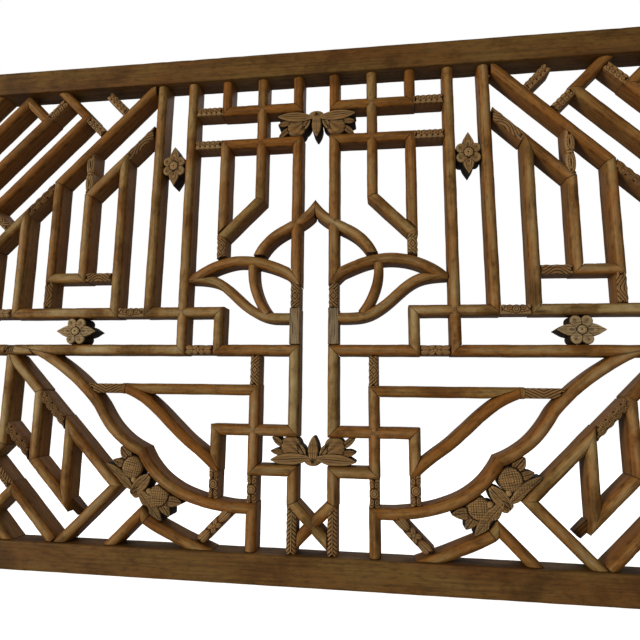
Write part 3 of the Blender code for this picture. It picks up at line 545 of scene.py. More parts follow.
def sweepBoard(stroke, kind, points, factor, slopes, seams, planes, pattern, notches, crestLightScale, tone):
    # point(t, s) = line(t) + normal(t) * s, at the depth that the profile gives at s. The ends run on
    # by their own distance at each s, and that fades out along the board.
    place, length = boardLine(points)
    profile = profiles[kind]
    phase = chance.uniform(0, 40)
    tone = np.clip(tone + chance.uniform(-0.25, 0.25), 0, 1)
    s, depth = profile[:, 0] * factor, profile[:, 1]
    first, last = endsOfBoard(place, length, s, *slopes, planes)
    start, end = first.mean(), last.mean()
    fine = kind in ("carved", "broken")
    base = stationsBetween(start, end, linkCut["spacing"] if fine else moulding["spacing"])
    runIn = [min(max(boardEnd["runIn"], boardEnd["perSlant"] * np.ptp(cut)), end - start)
             for cut in (first, last)]
    fade = [np.clip(1 - (base - start) / runIn[0], 0, 1)[:, None],
            np.clip(1 - (end - base) / runIn[1], 0, 1)[:, None]]
    t = base[:, None] + (first - start) * fade[0] + (last - end) * fade[1]
    s, y = np.broadcast_to(s, t.shape).copy(), np.broadcast_to(depth, t.shape).copy()
    fromEnds = np.minimum(base - start, end - base)[:, None]
    front = np.clip((moulding["rise"] + 2.5 - depth) / 2.0, 0, 1)
    if fine:
        hidden = stroke.get("hidden", (0.0, 0.0))
        reach = max(3.0, (end - start - hidden[0] - hidden[1]) / 2)
        x = t - start - hidden[0] - reach
        s, y, hollowDirtShadeAndRidgeLight = carveFront(t, s, y, x, reach, fromEnds, profile, pattern, notches, phase)
    else:
        free = np.clip(fromEnds / boardEnd["calm"], 0, 1)
        s, y, hollowDirtShadeAndRidgeLight = wearMoulding(t, s, y, profile, front, free, phase)
    if kind == "broken":
        y += linkCut["tornSlope"] * (base - start)[:, None] / (end - start) * (depth < 20)
        # The stub, set deep, is darkened all over with painted shade and dirt.
        hollowDirtShadeAndRidgeLight = 0.5 + 0.5 * hollowDirtShadeAndRidgeLight
    if kind == "block":
        y, hollowDirtShadeAndRidgeLight = crackBlock(t, s, y, hollowDirtShadeAndRidgeLight, depth, phase)
    # Worn mitres: both boards fall away a little at the joint, and dirt sits in it.
    nearSeam = np.where(base < (start + end) / 2, *seams)[:, None]
    sink = ridge(fromEnds, boardEnd["sinkLong"]) * (nearSeam > boardEnd["openSeam"])
    y += boardEnd["sink"] * sink * front
    s *= 1 - boardEnd["narrowed"] * sink
    seam = np.maximum(ridge(base - start, boardEnd["dirtLong"])[:, None] * seams[0],
                      ridge(end - base, boardEnd["dirtLong"])[:, None] * seams[1]) * np.ones_like(t)
    u, z, nu, nz = place(t)
    u, z = u + nu * s, z + nz * s
    seam = fittingLines(seam, u, y, z, s, stroke)
    y = y + stroke.get("lower", 0.0)
    around = np.concatenate([[0], np.cumsum(np.hypot(*np.diff(profile, axis=0).T))])
    rim = np.hypot(*(profile[0] - profile[-1]))
    uv = np.stack([t + phase * 25, np.broadcast_to(around, t.shape) + phase * 7], -1) / 1000
    # Painted highlight along the crown, giving way to painted shade towards the arrises.
    crestLight = np.clip(1 - (np.abs(profile[:, 0]) / (half - 0.2)) ** 2, 0, 1) * (depth < 6)
    # The painted highlight is stronger near the middle row, where the light falls strongest.
    middleLight = lightNearMiddle["elsewhere"] + lightNearMiddle["more"] * ridge(z - lightNearMiddle["level"], lightNearMiddle["spread"])
    crestLight = np.clip(np.minimum(crestLight, crestLightCap.get(kind, 1.0)) * middleLight * crestLightScale, 0, 1)
    return {"u": u, "y": y, "z": z, "uv": uv, "rim": (around[-1] + rim + phase * 7) / 1000,
            "tone": np.full(t.shape, 0.65 if fine else tone), "seam": np.clip(seam, 0, 1),
            "hollowDirtShadeAndRidgeLight": hollowDirtShadeAndRidgeLight, "crestLight": crestLight, "bare": np.full(t.shape, bareShare.get(kind, 0.0))}


mitreBend = math.radians(17)


def splitRuns(runs):
    # Boards of one stroke: (kind, points, how far they are narrowed). A bend sharper than mitreBend
    # is a mitre between two boards.
    boards = []
    for kind, points, *narrow in runs:
        factor = narrow[0] if narrow else 1.0
        points = [tuple(map(float, p)) for p in points]
        piece = [points[0]]
        for before, point, after in zip(points, points[1:], points[2:]):
            piece.append(point)
            comes, goes = wayTo(before, point), wayTo(point, after)
            if comes[0] * goes[0] + comes[1] * goes[1] < math.cos(mitreBend):
                boards.append((kind, piece, factor))
                piece = [point]
        boards.append((kind, piece + [points[-1]], factor))
    return boards


def straightOn(board, after):
    # A carving that runs on from a bar of the same piece, with no joint between them.
    (u0, z0), (u1, z1) = wayTo(*board[1][-2:]), wayTo(*after[1][:2])
    return {board[0], after[0]} == {"bar", "carved"} and u0 * u1 + z0 * z1 > 0.9


def strokeBoards(stroke):
    # Two boards of a stroke meet in a mitre that halves the angle between them, with some dirt in it.
    # Where a carving runs straight on from its bar there is no notch and hardly any dirt.
    boards = splitRuns(stroke["runs"])
    made = []
    patterns = list(stroke.get("patterns", ()))
    for number, (kind, points, factor) in enumerate(boards):
        startWay, endWay = wayTo(*points[:2]), wayTo(*points[-2:])
        slopes, seams = [0.0, 0.0], list(stroke.get("seams", (0.6, 0.6)))
        notch = list(stroke.get("notches", (1, 1)) if kind == "carved" else (0, 0))
        if number == 0 and stroke.get("startCut"):
            slopes[0] = slopeOf(stroke["startCut"], startWay)
        if number == len(boards) - 1 and stroke.get("endCut"):
            slopes[1] = slopeOf(stroke["endCut"], endWay)
        if number:
            was = wayTo(*boards[number - 1][1][-2:])
            slopes[0] = slopeOf((-was[1] - startWay[1], was[0] + startWay[0]), startWay)
            seams[0] = joint
            if straightOn(boards[number - 1], boards[number]):
                notch[0] = 0
        if number < len(boards) - 1:
            following = boards[number + 1]
            comes = wayTo(*following[1][:2])
            slopes[1] = slopeOf((-endWay[1] - comes[1], endWay[0] + comes[0]), endWay)
            joint = seams[1] = chance.uniform(0.35, 1.0) * stroke.get("cornerDirt", 1.0)
            if straightOn(boards[number], following):
                joint = seams[1] = 0.1
                notch[1] = 0
        planes = stroke.get("clip", ()) if number in (0, len(boards) - 1) else ()
        pattern = patterns.pop(0) if kind == "carved" else None
        crestLightScale, tone = stroke["highlightAndAgeing"][number % len(stroke["highlightAndAgeing"])]
        made.append(sweepBoard(stroke, kind, points, factor, slopes, seams, planes, pattern, notch,
                               crestLightScale, tone))
    return made


pieceCount = {"pieces": 0, "triangles": 0}


def meshOf(name, grids, side):
    # One closed mesh from grids of points (rings along, columns around), with its faces outwards
    # on both sides of the window.
    places, faces, uvs, offset = [], [], [], 0
    marks = {"tone": [], "seam": [], "hollowDirtShadeAndRidgeLight": [], "crestLight": [], "bare": []}
    for grid in grids:
        rings, count = grid["u"].shape
        points = np.stack([side * grid["u"], grid["y"] + latticeFront, grid["z"] + middleRow], -1)
        places.append(points.reshape(-1, 3))
        ring = np.arange(rings - 1)[:, None] * count
        here, after = np.arange(count)[None, :], (np.arange(count)[None, :] + 1) % count
        quads = np.stack([ring + here, ring + after, ring + count + after, ring + count + here], -1)
        uv = grid["uv"]
        wrapped = uv[:, :1].copy()
        if grid["rim"] is not None:
            wrapped[..., 1] = grid["rim"]
        uvNext = np.concatenate([uv[:, 1:], wrapped], 1)
        corners = np.stack([uv[:-1], uvNext[:-1], uvNext[1:], uv[1:]], 2)
        quads, corners = quads.reshape(-1, 4), corners.reshape(-1, 4, 2)
        caps = [np.arange(count)[::-1], np.arange(count) + (rings - 1) * count]
        capUv = [uv[0][::-1], uv[-1]]
        arms = places[-1] - places[-1].mean(0)
        if np.einsum("ij,ij->", arms[quads[:, 0]], np.cross(arms[quads[:, 1]], arms[quads[:, 2]])) < 0:
            quads, corners = quads[:, ::-1], corners[:, ::-1]
            caps, capUv = [cap[::-1] for cap in caps], [cap[::-1] for cap in capUv]
        faces += (quads + offset).tolist() + [(cap + offset).tolist() for cap in caps]
        uvs += [corners.reshape(-1, 2)] + capUv
        for key in marks:
            marks[key].append(grid[key].reshape(-1))
        offset += rings * count
    mesh = bpy.data.meshes.new(name)
    mesh.from_pydata((np.vstack(places) / 1000).tolist(), [], faces)
    layer = mesh.uv_layers.new(name="alongGrain")
    layer.data.foreach_set("uv", np.vstack(uvs).astype(np.float32).ravel())
    for key, values in marks.items():
        attribute = mesh.attributes.new(key, "FLOAT", "POINT")
        attribute.data.foreach_set("value", np.concatenate(values).astype(np.float32))
    mesh.shade_smooth()
    mesh.set_sharp_from_angle(angle=math.radians(44))
    mesh.update()
    return mesh


def placePiece(name, mesh, node, material):
    piece = bpy.data.objects.new(name, mesh)
    bpy.context.scene.collection.objects.link(piece)
    mesh.materials.append(material)
    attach(piece, "root")
    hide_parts(node)
    mesh.calc_loop_triangles()
    pieceCount["pieces"] += 1
    pieceCount["triangles"] += len(mesh.loop_triangles)


# The strands, as the joiner set them out.
def bar(*points, **rest):
    return {"runs": [("bar", points)], **rest}


def carved(pattern, *points, **rest):
    return {"runs": [("carved", points)], "patterns": [pattern], **rest}


def link(pattern, start, end, fromCentre, toCentre, **rest):
    # Carved link from one bar's middle line to another's. What lies inside the first is hidden.
    length = math.dist(start, end)
    first, last = between(start, end, fromCentre / length), between(start, end, 1 - toCentre / length)
    return carved(pattern, first, last, hidden=(max(0.0, half - fromCentre), 0.0), **rest)


toRail, toSill = levelCut(innerTop - gap, 0.0), levelCut(innerBottom + gap, 0.0)
toStile = uprightCut(innerSide - gap, 0.0)
rowSweepJoint = ((428.0, -half), (498.0, -half + 70 * 0.208))
rowEndJoint = ((472.2, 0.0), (478.4, half))
lowerSweepJoint = ((258.0, rows["lower1"] - half), (306.0, rows["lower1"] + half))
sweepPath = ([(484.0, 8.9)]
             + bezier((470.0, 4.0), (425.0, -15.0), (372.0, -52.0), (343.0, -90.0))
             + bezier((343.0, -90.0), (325.0, -121.0), (302.0, -143.5), (267.0, -157.5))[1:]
             + bezier((267.0, -157.5), (250.0, -188.0), (222.0, -219.0), (150.0, -231.5))[1:]
             + [(120.0, -235.2), (c1, -235.5), (c1, innerBottom + gap)])
sillTop = onOut("low3", 262.0)
sillPath = [onOut("low3", z=pastBottom), sillTop,
            *bezier((254.0, -258.0), (235.0, -269.0), (205.0, -282.0), (150.0, -303.0))]


def upperOutside(side):
    # Slanting bars of the upper corner, and the two nested Us beside them.
    cornerA, cornerB = slantCorner("second", "crossA", side), slantCorner("third", "crossB")
    uTop, innerTopCorner, hookTop = onOut("fourth", c7), onOut("fifth", c5), onOut("fourth", c8)
    topMitre = (innerTopCorner, (c5 + sharp[0], innerTopCorner[1] + sharp[1]))
    return {
        "cornerBar": [
            bar(onOut("corner", pastSide), onOut("corner", z=pastTop), clip=(toStile, toRail))],
        "outerSlant": [
            bar(onOut("second", pastSide, side=side), cornerA, slantCorner("first", "crossA", side),
                onOut("first", pastSide, side=side), clip=(toStile, toRail)),
            link("beads", cornerA, slantCorner("second", "crossB", side), inside, touching, clip=(toRail,))],
        "middleSlant": [
            bar(onOut("third", pastSide), cornerB, onIn("crossB", z=pastTop), clip=(toStile, toRail)),
            link("beads", cornerB, slantCorner("fourth", "crossB"), inside, touching)],
        "innerUOuter": [
            bar(onOut("fourth", z=innerTop - gap), uTop, (c7, rows["innerU"]),
                (c6 + mitreGap, rows["innerU"]), startCut=(1, 0), endCut=(1, 1),
                clip=(uprightCut(c4 + touching, c9),)),
            link("vine", uTop, hookTop, inside + 1, 0, clip=(uprightCut(c8 - touching, 0.0),)),
            link("leaves", (c7, rows["innerU"]), (c7, rows["outerU"]), inside, touching),
            link("beads", slantCorner("fourth", "crossC"), slantCorner("third", "crossC"), inside, 0,
                 clip=(toRail,))],
        "innerUInner": [
            bar((c6, rows["innerU"] + mitreGap), onOut("fifth", c6), onOut("fifth", c5 + mitreGap * 0.5),
                startCut=(1, 1), endCut=sharp),
            link("bow", onOut("fifth", c6), onOut("fourth", c6), inside + 1, 0,
                 clip=((*shifted((onOut("fourth", 0.0), onOut("fourth", c9)), -touching), (0, 0)),)),
            link("leaves", (c6, rows["innerU"]), (c5, rows["innerU"]), half - 0.5, touching)],
        "outerU": [
            bar((c5, innerTopCorner[1] - gap), (c5, rows["outerU"]), (c8, rows["outerU"]),
                (c8, hookTop[1] - gap), startCut=sharp, endCut=sharp),
            link("blossom", (c8, rows["outerU"]), (c9, rows["outerU"]), inside, touching),
            link("leaves", innerTopCorner, onOut("fifth", c4), inside + 1, 0,
                 clip=(uprightCut(c4 + touching, c5), (*shifted(topMitre, -gap), (c4, rows["outerU"]))))],
        "outerHook": [
            bar(onOut("fourth", c8 + mitreGap * 0.5), onOut("fourth", c9), (c9, rows["outerU"]),
                (innerSide - gap, rows["outerU"]), startCut=sharp),
            link("diamonds", slantCorner("fourth", "crossD"), slantCorner("third", "crossD"), inside,
                 touching)],
    }


def upperInside():
    # Steps, hoop, knee and the eye, from the outside inwards.
    kneeTop = onOut("hoop", c2)
    lid = (bezier((204.0, 103.5), (196.0, 119.0), (158.0, 142.8), (119.0, 142.8))
           + bezier((119.0, 142.8), (86.0, 142.8), (62.0, 131.0), (44.0, 123.0))[1:]
           + bezier((44.0, 123.0), (38.0, 119.5), (31.0, 112.0), (18.0, 94.0))[1:])
    lidJoint = ((156.0, 117.7), (212.0, 109.4))
    overColumn, underLid = ((c0, 114.0), (c0 + half, 127.6)), ((c0, 103.4), (c0 + half, 106.4))
    besideC3 = uprightCut(c3 - touching, 0.0)
    under = (bezier((206.0, 116.0), (176.0, 115.5), (160.0, 112.0), (143.0, 99.0))
             + bezier((143.0, 99.0), (120.0, 80.5), (100.0, 53.0), (64.0, 50.2))[1:]
             + bezier((64.0, 50.2), (54.0, 49.8), (46.0, 49.6), (c0 + half - 1.5, 50.0))[1:])
    iris = bezier((99.6, 136.0), (101.5, 108.0), (93.0, 80.0), (74.0, 56.0))
    overRow = {name: [((c1, rows[name]), (0, 1))] for name in ("hoop", "top")}
    return {
        "stepBar": [
            bar((c4 - 3, innerTop - gap), (c4, rows["outerU"]), (c2, rows["outerU"]), (c2, 0.0),
                endCut=(1, -1), crossings=[((c3, rows["outerU"]), (0, 1))], lower=0.1),
            link("scroll", (c4, rows["outerU"]), (c5, rows["outerU"]), inside, touching)],
        "tallUpright": [
            bar((c3, innerTop - gap), (c3, 0), onLevel(shifted(rowSweepJoint, gap / 2), 0.0),
                endCut=(1, 0.208), clip=((*shifted(rowEndJoint, -0.4), (0, 0)),),
                seams=(0.6, 0.1), scores=(rowSweepJoint,),
                crossings=[((c3, rows["outerU"]), (1, 0))])],
        "hoop": [
            bar((c2, outFall["hoop"] + (half + gap) / diag - c2), (c2, rows["hoop"]), (c0, rows["hoop"]),
                (c0, 114.3), startCut=(-1, 1), endCut=(1, 1.65), lower=0.1,
                crossings=overRow["hoop"] + [((c0, 203.4), (1, -0.62))]),
            link("beads", (c2, rows["hoop"]), (c3, rows["hoop"]), inside, touching)],
        "topU": [
            bar((c2, innerTop - gap), (c2, rows["top"]), (c0, rows["top"]), (c0, innerTop - gap), lower=0.1,
                crossings=overRow["top"]),
            link("beads", (c2, rows["top"]), (c3, rows["top"]), inside, touching)],
        "knee": [
            {"runs": [("bar", ((c1, innerTop - gap), onOut("hoop", c1), kneeTop, (c2, kneeTop[1] - 4))),
                      ("carved", ((c2, kneeTop[1] - 4), (c2, 149.0)))],
             "endCut": (1, -0.3), "patterns": ["diamonds"], "notches": (0, 0),
             "crossings": [((c1, rows["hoop"]), (1, 0)), ((c1, rows["top"]), (1, 0))]}],
        "eye": [
            {"runs": [("bar", lid)],
             "clip": (besideC3, (*lidJoint, (120.0, 180.0), 70.0), (*overColumn, (70.0, 90.0), 30.0),
                      (*underLid, (60.0, 150.0), 30.0))},
            {"runs": [("carved", ((c0, 103.2), (c0, rows["outerU"] + 4.5))),
                      ("block", ((c0, rows["outerU"] + 4.5), (c0, touching)))],
             "startCut": (1, 0.36), "patterns": ["diamonds"], "notches": (0, 1)},
            {"runs": [("bar", under, 0.93)], "endCut": (0, 1),
             "clip": ((*shifted(lidJoint, 0.6), (60.0, 50.0)), besideC3)},
            {"runs": [("bar", iris, 0.88)], "startCut": (1, 0), "lower": 0.25}],
    }


def middleStrands(side):
    # From the spine down to the sill sweep, inside the outer sweep.
    sweep = ([(306.0, rows["lower1"])]
             + bezier((300.0, -61.2), (264.0, -73.0), (246.0, -94.0), (216.0, -121.0))
             + bezier((216.0, -121.0), (194.0, -143.0), (178.0, -150.0), (postFoot + half, -167.4))[1:]
             + [(postFoot - 12.0, -187.0)])
    overPost, underSweep = (((postFoot, -169.8), (postFoot + half, -155.5)),
                            ((postFoot, -181.6), (postFoot + half, -179.4)))
    footCross = [((0.0, crossingZ), (1, -1))]
    return {
        "spineHook": [
            carved("blossom", (c3 - touching, 0), (c2 + half, 0)),
            bar((c2, 0), (c0, 0), (c0, rows["lower2"]), (postFoot, rows["lower2"]), (postFoot, -169.5),
                startCut=(1, -1), endCut=(1, 1.744), lower=0.1, crossings=[((c1, rows["lower2"]), (0, 1))]),
            carved("fishtail", (postFoot, -181.2), (postFoot, -222.3), startCut=(1, 0.27), endCut=(1, 0.17),
                   notches=(0, 1))],
        "lowerRow": [
            bar(onLevel(shifted(lowerSweepJoint, gap / 2), rows["lower1"]), (c1, rows["lower1"]),
                (c1, rows["lower3"] + mitreGap), startCut=(1, 0.348), endCut=(-1, 1),
                crossings=[((c1, rows["lower2"]), (1, 0))]),
            link("diamonds", (c1, rows["lower1"]), (c1, 0), inside, touching)],
        "innerSweep": [
            {"runs": [("carved", ((357.0, rows["lower1"]), (306.4, rows["lower1"]))), ("bar", sweep)],
             "startCut": (0.72, 0.7), "patterns": ["horn"],
             "clip": ((*shifted(lowerSweepJoint, 0.5), (200.0, -200.0), 90.0),
                      (*overPost, (200.0, -200.0), 30.0), (*underSweep, (180.0, -120.0), 30.0))}],
        "footHook": [
            bar((c1 - mitreGap, rows["lower3"]), (c0, rows["lower3"]), (c0, crossingZ + c0),
                (-40.0, crossingZ - 40.0), startCut=(-1, 1), lower=0.0 if side < 0 else 0.15,
                clip=(uprightCut(-c0 + 7.8 + gap, c1),), crossings=footCross),
            link("fishtail", (c1, rows["lower3"]), (c1, -235.5), half - 0.7, touching),
            link("chevrons", (c0, crossingZ + c0), (c0, innerBottom), half - 4.5, gap)],
        "outerSweep": [
            {"runs": [("bar", sweepPath)], "seams": (0.1, 0.6), "cornerDirt": 0.25,
             "scores": (rowSweepJoint,), "clip": ((*shifted(rowSweepJoint, 0.5), (400, -200)),
                                                  (*shifted(rowEndJoint, -0.4), (0, 0), 40.0))},
            carved("blossom", onOut("foot", 121.0), onOut("foot", 176.0), hidden=(4.0, 0.0),
                   clip=(((150.0, -290.6), (190.0, -275.4), (120.0, -240.0)),))],
        "rowEnd": [
            {"runs": [("bar", ((innerSide - gap, 0), (518.0, 0))), ("carved", ((518.0, 0), (500.0, 0))),
                      ("bar", ((500.0, 0), (472.4, 0)))],
             "endCut": (6.2, half), "patterns": ["veins"], "seams": (0.6, 0.1),
             "scores": (rowSweepJoint,)}],
    }


def lowerStrands():
    # Under the junction of the row and the outer sweep, down to the sill.
    crotch = (c8 - half, inFall["low1"] - half / diag + c8 - half)
    mitre = (math.sin(math.pi / 8), math.cos(math.pi / 8))
    joint = (crotch, (crotch[0] + 2 * half, crotch[1] + 2 * half * mitre[1] / mitre[0]))
    underRow = levelCut(-touching, -300.0)
    zig = [onIn("low1", c7), onIn("low2", c7), onIn("low2", c6), onIn("low1", c6),
           slantCorner("low2", "low1")]
    low1Top = slantCorner("low1", "low3")
    zigzagEdge = outFall["low2"] + (half + gap) / diag
    besideZigzag = ((zigzagEdge, 0.0), (0.0, zigzagEdge), (c9, 0.0))
    brokenLine = (zig[2], slantCorner("low2", "low2"))
    return {
        "lowHook": [
            bar(between(*shifted(joint, -gap / 2), 0.5), onOut("low0", c8), onOut("low0", pastSide),
                startCut=mitre, clip=(underRow, toStile)),
            link("vine", onIn("low2", c8), onIn("low2", c7), inside + 1, 0,
                 clip=(uprightCut(c7 + touching, c8),))],
        "zigzag": [
            bar(between(*shifted(joint, gap / 2), 0.5), *zig, onOut("low2", z=pastBottom),
                startCut=mitre, clip=(underRow, toSill)),
            link("vine", zig[0], zig[3], inside + 1, 0, clip=(uprightCut(c6 + touching, c7),)),
            {"runs": [("broken", (between(*brokenLine, 0.16), between(*brokenLine, 0.72)))]}],
        "sillGable": [
            bar(onIn("low3", z=pastBottom), low1Top, onOut("low1", z=pastBottom),
                clip=(toSill, besideZigzag)),
            link("chevrons", low1Top, slantCorner("low0", "low3"), inside, touching),
            bar(slantCorner("low1", "low4"), onIn("low4", z=pastBottom), clip=(toSill,), startCut=(1, -1))],
        "sillSweep": [bar(*sillPath, clip=(toSill,))],
    }


def archStroke():
    flank = (bezier((0.0, 228.0), (13.0, 210.5), (30.0, 202.4), (47.0, 193.5))
             + bezier((47.0, 193.5), (66.0, 184.0), (85.0, 169.0), (93.0, 145.0))[1:])
    path = [(-u, z) for u, z in reversed(flank)] + flank[1:]
    crossings = [((c0, 203.4), (0, 1)), ((-c0, 203.4), (0, 1))]
    return bar(*path, clip=(levelCut(151.6, 400.0),), crossings=crossings)


# How far in mm each kind of leaf is hollowed inside its rim.
leafCut = {"side": 0.7, "long": 0.7, "pit": 1.3, "fold": 1.3}


# Carved ornaments. Each shape takes points (u, z) and gives how deep inside it they are, which is
# less than 0 outside, and the height in mm that the carver left there over the ornament's rim.
def leafForm(start, end, wide, low, high, veins="side"):
    # Leaf with a point at both ends: |across| < wide * sin(pi * along / length)^0.8. Its rim stands
    # up, its middle is hollowed, and the veins are cut in that.
    length, way = math.dist(start, end), wayTo(start, end)

    def form(u, z):
        along = (u - start[0]) * way[0] + (z - start[1]) * way[1]
        across = (z - start[1]) * way[0] - (u - start[0]) * way[1]
        part = np.clip(along / length, 0, 1) ** (0.80 if veins == "pit" else 1.0)
        room = wide * np.sin(np.pi * part) ** (1.25 if veins == "pit" else 0.8) + 1e-6
        depth = np.where((along > 0) & (along < length), 1 - np.abs(across) / room, -1.0)
        body = low + (high - low) * (1 - np.exp(-6.5 * np.clip(depth, 0, 1)))
        body = body - leafCut[veins] * np.clip((depth - 0.22) / 0.30, 0, 1)
        if veins == "side":
            cut = 0.34 * np.cos(2 * np.pi * (along - np.abs(across) * 1.1) / 3.0) - 0.9 * ridge(across, 0.6)
        elif veins == "long":
            groove = np.abs((across / room * 2.6 + 0.5) % 1 - 0.5) * room / 2.6
            cut = -0.28 * ridge(groove, 0.5) * np.sin(np.pi * part) ** 0.3 - 0.35 * ridge(across, 0.6)
        elif veins == "pit":
            pit = np.hypot((along - length * 0.36) / 4.6, across / 2.4)
            cut = -0.8 * ridge(pit, 0.8) + 0.5 * ridge(pit - 1.3, 0.4)
            cut = cut + 0.12 * np.cos(2 * np.pi * across / 2.6)
        else:
            cut = -1.1 * ridge(across, 0.7) + 0.25 * np.cos(2 * np.pi * np.abs(across) / 2.2)
        return depth, body + cut * np.clip(depth * 5, 0, 1)
    return form


def petalForm(centre, radius, low, high, heart=None, squat=1.0):
    # Round knob, high * sqrt(1 - r^2). As a petal it runs on to the heart of the flower, its rim
    # stands up, and its middle is hollowed with a groove in it.
    def form(u, z):
        du, dz = u - centre[0], (z - centre[1]) * squat
        away = np.hypot(du, dz) / radius
        if heart is None:
            return 1 - away * away, low + (high - low) * np.sqrt(np.clip(1 - away * away, 0, 1))
        way = wayTo(centre, heart)
        across = dz * way[0] - du * way[1]
        along = du * way[0] + dz * way[1]
        away = np.hypot(across, np.where(along > 0, along / 1.7, along)) / radius
        body = low + (high - low) * (1 - np.exp(-7.0 * np.clip(1 - away, 0, 1)))
        body = body - 1.5 * np.clip((0.84 - away) / 0.55, 0, 1)
        body = body - 1.1 * ridge(np.hypot(across, (along + 0.5) / 2.4), 1.4)
        return 1 - away * away, body + 0.14 * np.cos(2 * np.pi * across / 2.2)
    return form


def buttonForm(centre, radius, low, high):
    # Button, low + (high - low) * sqrt(1 - 0.6 (r / radius)^2), with a turned ring round it and a
    # hole in its middle.
    def form(u, z):
        r = np.hypot(u - centre[0], z - centre[1])
        body = low + (high - low) * np.sqrt(np.clip(1 - (r / radius) ** 2 * 0.6, 0, 1))
        body = body - 1.3 * ridge(r - radius * 0.92, 0.8) - 2.6 * ridge(r, 1.25) + 0.3 * ridge(r - 2.6, 0.8)
        return 1 - (r / radius) ** 2, body
    return form


def fruitForm(centre, radius, low, high, turn, square=3.6):
    # Pomegranate: the dome low + (high - low) * sqrt(1 - (r / radius)^2), cut in squares of the
    # given mm, which crowd towards its edge as on a ball.
    def form(u, z):
        du, dz = u - centre[0], z - centre[1]
        away = np.clip(np.hypot(du, dz) / radius, 0, 1)
        body = low + (high - low) * np.sqrt(1 - away * away)
        spread = np.arcsin(away * 0.94) / np.clip(away, 1e-6, 1)
        x = (du * math.cos(turn) + dz * math.sin(turn)) * spread
        w = (dz * math.cos(turn) - du * math.sin(turn)) * spread
        groove = np.minimum(*[np.abs((q / square + 0.5) % 1 - 0.5) * square for q in (x, w)])
        cut = 0.75 * ridge(groove, 0.62)
        rim = 0.8 * ridge(away - 0.93, 0.05)
        return 1 - (np.hypot(du, dz) / radius) ** 2, body - cut * (away < 0.9) - rim
    return form


def fanForm(centre, radius, low, high, root, veins=15):
    # Round leaf, low + (high - low) * sqrt(1 - (r / radius)^2.6), with veins that fan out from its
    # root as cos(veins * angle).
    def form(u, z):
        away = np.hypot(u - centre[0], z - centre[1]) / radius
        angle = np.arctan2(z - root[1], u - root[0])
        body = low + (high - low) * np.sqrt(np.clip(1 - away ** 2.6, 0, 1))
        fan = 0.38 * np.cos(angle * veins) * np.clip(np.hypot(u - root[0], z - root[1]) / 9, 0, 1)
        return 1 - away * away, body + fan * np.clip((1 - away) * 5, 0, 1)
    return form


# Ornaments, in mm: how far out they may reach, how much shallower than the bars they are, how high the
# ground between their forms is, and how high the tallest form is drawn. The darkening of the sides, painted
# shade with some dark end grain, goes from the rim to the back.
ornament = {"rings": 34, "step": 0.25, "reach": 46.0, "shallower": 1.0, "meetingCut": 0.6, "ground": 0.5,
            "edgeRound": 0.55, "tallest": 5.5, "sideShadeAndDirt": (0.95, 0.95, 0.95, 0.9, 0.3, 0.0)}


